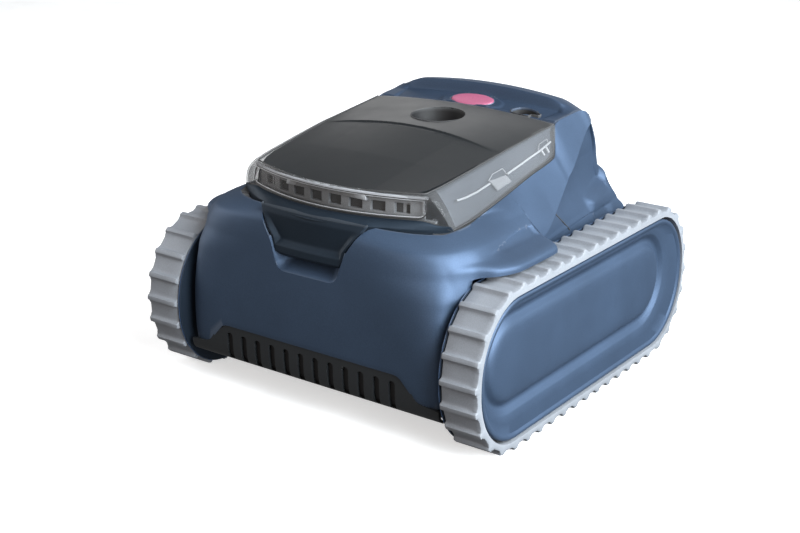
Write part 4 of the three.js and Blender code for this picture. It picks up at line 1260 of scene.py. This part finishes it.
def band_seams():
    """Black lines round the panel and along the band's lower edge, as one seal each."""
    reaches = spans((0, 0.4, 30), (0.4, 0.6, 24), (0.6, 1, 30))
    upper = [band_point(r, 1.0) + (0, 0, -0.2) for r in reaches]
    lower = [band_point(r, 0.0) + (0.3, 0, -0.6) for r in reaches]
    rear = [blend(lower[-1], upper[-1], t) for t in np.linspace(0, 1, 8)[1:-1]]
    for name, half, radius in (("panel_seal", upper, 0.75), ("band_seal", lower + rear, 0.8)):
        whole = [p * (-1, 1, 1) for p in reversed(half[1:])] + half
        place(tube(name, whole, radius, 6), SEAL, "lid", "black_rubber")


def tab_half_width(z):
    """Half the tab's width: it narrows downwards and its bottom corners are round."""
    straight = np.interp(z, (161, 172, 178, 200, 206), (42.5, 43, 44.5, 60.5, 64))
    corner = 10 * (1 - np.sqrt(1 - np.clip((174 - z) / 13.2, 0, 1) ** 2))
    return straight - corner


def tab_y(share, x, z):
    """The tab's face: a sunk middle inside a thick rounded lip along its sides and bottom."""
    base = np.interp(z, (161, 178, 200, 206), (-198.6, -198.4, -199.4, -197.6))
    edge = (1 - abs(share)) * tab_half_width(z)
    side_lip = (1 - np.clip((edge - 3.5) / 5.5, 0, 1)) * (1 - ease(184, 203, z))
    bottom_lip = 1 - np.clip((z - 171) / 5.5, 0, 1)
    lip = max(side_lip, bottom_lip)
    fall = 3.0 * (1 - ease(0, 1.5, edge)) + 3.4 * (1 - ease(161, 164.5, z))
    return base - 4.6 * lip + fall + 12 * squared(x)


def bezel():
    """The band between the front shell and the window, with its pull tab."""
    grid = []
    for x in spans((-126, -60, 36), (-60, 60, 50), (60, 126, 36)):
        outer_z = 203.6 - 2.2 * ease(60, 118, abs(x)) - 0.8 * ease(118, 126, abs(x))
        inner_x = x * 0.975
        inner_z = 208.8 + 0.8 * squared(inner_x) - 4.6 * ease(98, 119, abs(inner_x))
        inner = np.array([inner_x, -179.6 + 23.2 * squared(inner_x), inner_z])
        outer = np.array([x, seam_y(x) + 2.6 * ease(55, 75, abs(x)), outer_z])
        column = [outer + (0, 0.8, -7), outer + (0, 0.2, -1.2)]
        for v in np.linspace(0, 1, 14):
            bow = 1.3 * math.sin(math.pi * v)
            column.append(blend(outer, inner, v) + (0, -0.5 * bow, bow))
        grid.append(column)
    band = sheet("bezel_band", grid, 2.0)
    settle(band, 44)
    whole = join("bezel_piece", [band, pull_tab()])
    settle(whole, 44)
    # The bezel takes the darker copy of the navy paint, which is painted shade.
    place(whole, NAVY_BEZEL_SHADE, "lid", "navy_shell", "lid_bezel")


def pull_tab():
    """The tab that hangs from the bezel into the finger recess."""
    rises = spans((161, 176, 26), (176, 205.5, 26))
    grid = []
    for share in spans((-1, -0.8, 16), (-0.8, 0.8, 30), (0.8, 1, 16)):
        column = [(share * (tab_half_width(162) - 1), -187.0, 161.6)]
        for z in rises:
            x = share * tab_half_width(z)
            column.append((x, tab_y(share, x, z), z))
        column.append((share * tab_half_width(205), -191.5, 206.6))
        grid.append(column)
    tab = sheet("pull_tab", grid, 2.2)
    settle(tab, 44)
    return tab


# ------------------------------------------------------------------ filter basket
GAP_COUNT = 8


def rim_y(x):
    """Middle of the castellated rim's thickness."""
    return -170.9 + 23.5 * squared(x)


def basket_parts():
    """The castellated rim behind the front window, with two raised caps and a black sheet behind it, painted
    shade seen through its gaps.
    """
    section = [
        (-1.2, 209.4), (-1.8, 211.5), (-1.8, 226.4), (-0.6, 227.6), (1.6, 228), (2.2, 226.8), (2.2, 209.4),
    ]
    rows = []
    for x in np.linspace(-98, 98, 99):
        y = rim_y(x)
        rows.append([(x, y + dy, z) for dy, z in section])
    corners = len(section)
    count = len(rows) * corners
    faces = grid_faces(len(rows), corners, wrap_rows=True)
    faces += [list(range(corners)), list(range(count - corners, count))[::-1]]
    rim = mesh_object("rim_band_solid", np.array(rows).reshape(-1, 3), faces)
    face_outwards(rim)
    pitch, half_gap, gap_low, gap_high = 22.6, 7.2, 213.2, 223.4
    for i in range(GAP_COUNT):
        middle = (i - (GAP_COUNT - 1) / 2) * pitch
        low, high = middle - half_gap, middle + half_gap
        outline = [(low, gap_low), (high, gap_low), (high, gap_high), (low, gap_high)]
        combine(rim, prism("gap", outline, 1, -185, -120), "DIFFERENCE")
    caps = []
    for x in (-33, 33):
        y = rim_y(x)
        outline = [(x - 15, gap_high), (x + 15, gap_high), (x + 13.5, 228.8), (x - 13.5, 228.8)]
        cap = prism("rim_cap", outline, 1, y - 4.2, y + 2)
        round_edges(cap, 0.8)
        caps.append(cap)
    round_edges(rim, 0.6, 2, 50)
    rim = join("castellated_rim", [rim, *caps])
    place(rim, GREY, "basket", "grey_plastic")
    # Painted shade: a black sheet behind the gaps, where the basket's dark inside shows.
    shade = [[(x, rim_y(x) + 2.3, z) for z in (209.4, 227.4)] for x in np.linspace(-97, 97, 60)]
    backing = sheet("rim_gap_shade", shade, 0.5)
    settle(backing)
    place(backing, SEAL, "basket", "black_plastic")


# ------------------------------------------------------------------ outlet
def outlet_throat():
    """The smooth black throat inside the water outlet."""
    rings = []
    for radius, z in ((28.0, 262.0), (28.0, 258), (26.8, 253), (26.2, 247), (25.8, 243)):
        rings.append([(x, y, z) for x, y in oval(0, OUTLET_Y, radius, radius, full_turn(72))])
    throat = surface("outlet_throat", np.array(rings).transpose(1, 0, 2)[::-1], wrap_columns=True)
    thicken(throat, -0.9)
    settle(throat)
    place(throat, SEAL, "lid", "black_plastic")


# ------------------------------------------------------------------ assembly
def build():
    front_shell()
    lid_seat()
    rear_shell()
    handle_recess()
    skirt("front_skirt_panel", -1, FRONT_SKIRT_Y)
    skirt("rear_skirt_panel", 1, REAR_SKIRT_Y)
    slot_shade_sheet("slot_shade_sheet", -1, FRONT_SKIRT_Y)
    slot_shade_sheet("rear_slot_shade_sheet", 1, REAR_SKIRT_Y)
    for suffix, side in SIDES:
        belt(suffix, side)
        side_cover(suffix, side)
        track_guard(suffix, side)
    deck()
    power_button()
    lid_panel()
    clear_band()
    front_window()
    window_rim()
    band_seams()
    latch_rods()
    bezel()
    basket_parts()
    outlet_throat()


# ------------------------------------------------------------------ studio
def floor():
    """A pale floor that gives off some light of its own but puts no light on the object."""
    size = 12000
    corners = [(-size, -size, 0), (size, -size, 0), (size, size, 0), (-size, size, 0)]
    base = mesh_object("studio_floor", corners, [(0, 1, 2, 3)])
    finish = Material("floor_white", (0.86, 0.86, 0.86), 0.9)
    finish.shader.inputs["Emission Color"].default_value = (1, 1, 1, 1)
    finish.shader.inputs["Emission Strength"].default_value = 0.54
    base.data.materials.append(finish.material)
    base.visible_diffuse = False
    base.visible_glossy = False


def soft_light(name, watts, size, place_at, aim, colour=(1, 1, 1)):
    """A rectangular soft light at a point, aimed at another. Sizes in metres."""
    lamp = bpy.data.lights.new(name, "AREA")
    lamp.energy = watts
    lamp.shape = "RECTANGLE"
    lamp.size, lamp.size_y = size
    lamp.color = colour
    holder = bpy.data.objects.new(name, lamp)
    holder.location = place_at
    direction = Vector(aim) - Vector(place_at)
    holder.rotation_euler = direction.to_track_quat("-Z", "Y").to_euler()
    bpy.context.scene.collection.objects.link(holder)


def studio():
    """Dim even surroundings and the soft lights. The side light makes the paint's bright planes."""
    world = bpy.data.worlds.new("studio")
    bpy.context.scene.world = world
    world.use_nodes = True
    background = world.node_tree.nodes["Background"]
    background.inputs["Color"].default_value = (0.95, 0.97, 1.0, 1)
    background.inputs["Strength"].default_value = 0.17
    soft_light("side_softbox", 210, (2.4, 2.0), (2.0, -0.15, 1.25), (0, 0, 0.1), (0.90, 0.96, 1.0))
    soft_light("cover_softbox", 2, (1.6, 0.6), (1.5, 1.5, 0.45), (0.2, 0, 0.1), (0.90, 0.96, 1.0))
    soft_light("top_softbox", 7, (1.4, 1.4), (0.1, 0.4, 2.0), (0, 0, 0.2))
    soft_light("rim_softbox", 14, (0.9, 1.4), (-1.8, -0.5, 0.7), (0, 0, 0.12))
    soft_light("back_softbox", 6, (2.0, 0.8), (-0.8, 2.1, 1.0), (0, 0, 0.2))
    soft_light("front_fill", 18, (1.6, 1.6), (0.3, -2.6, 1.0), (0, 0, 0.12), (1.0, 0.86, 0.76))
    floor()


def camera():
    """The view from the front right and above."""
    lens = bpy.data.cameras.new("view")
    lens.lens = 65.93
    lens.sensor_width = 36
    lens.shift_x = 0.0753
    lens.shift_y = -0.0433
    eye = bpy.data.objects.new("view", lens)
    turn = Matrix.Rotation(math.radians(37.31), 4, "Z") @ Matrix.Rotation(math.radians(71.99), 4, "X")
    roll = Matrix.Rotation(math.radians(-0.117), 4, "Z")
    eye.matrix_world = Matrix.Translation((0.82002, -1.22568, 0.61744)) @ turn @ roll
    bpy.context.scene.collection.objects.link(eye)
    bpy.context.scene.camera = eye


camera()
build()
dress_nodes()
studio()
bpy.context.scene.view_settings.view_transform = "Standard"
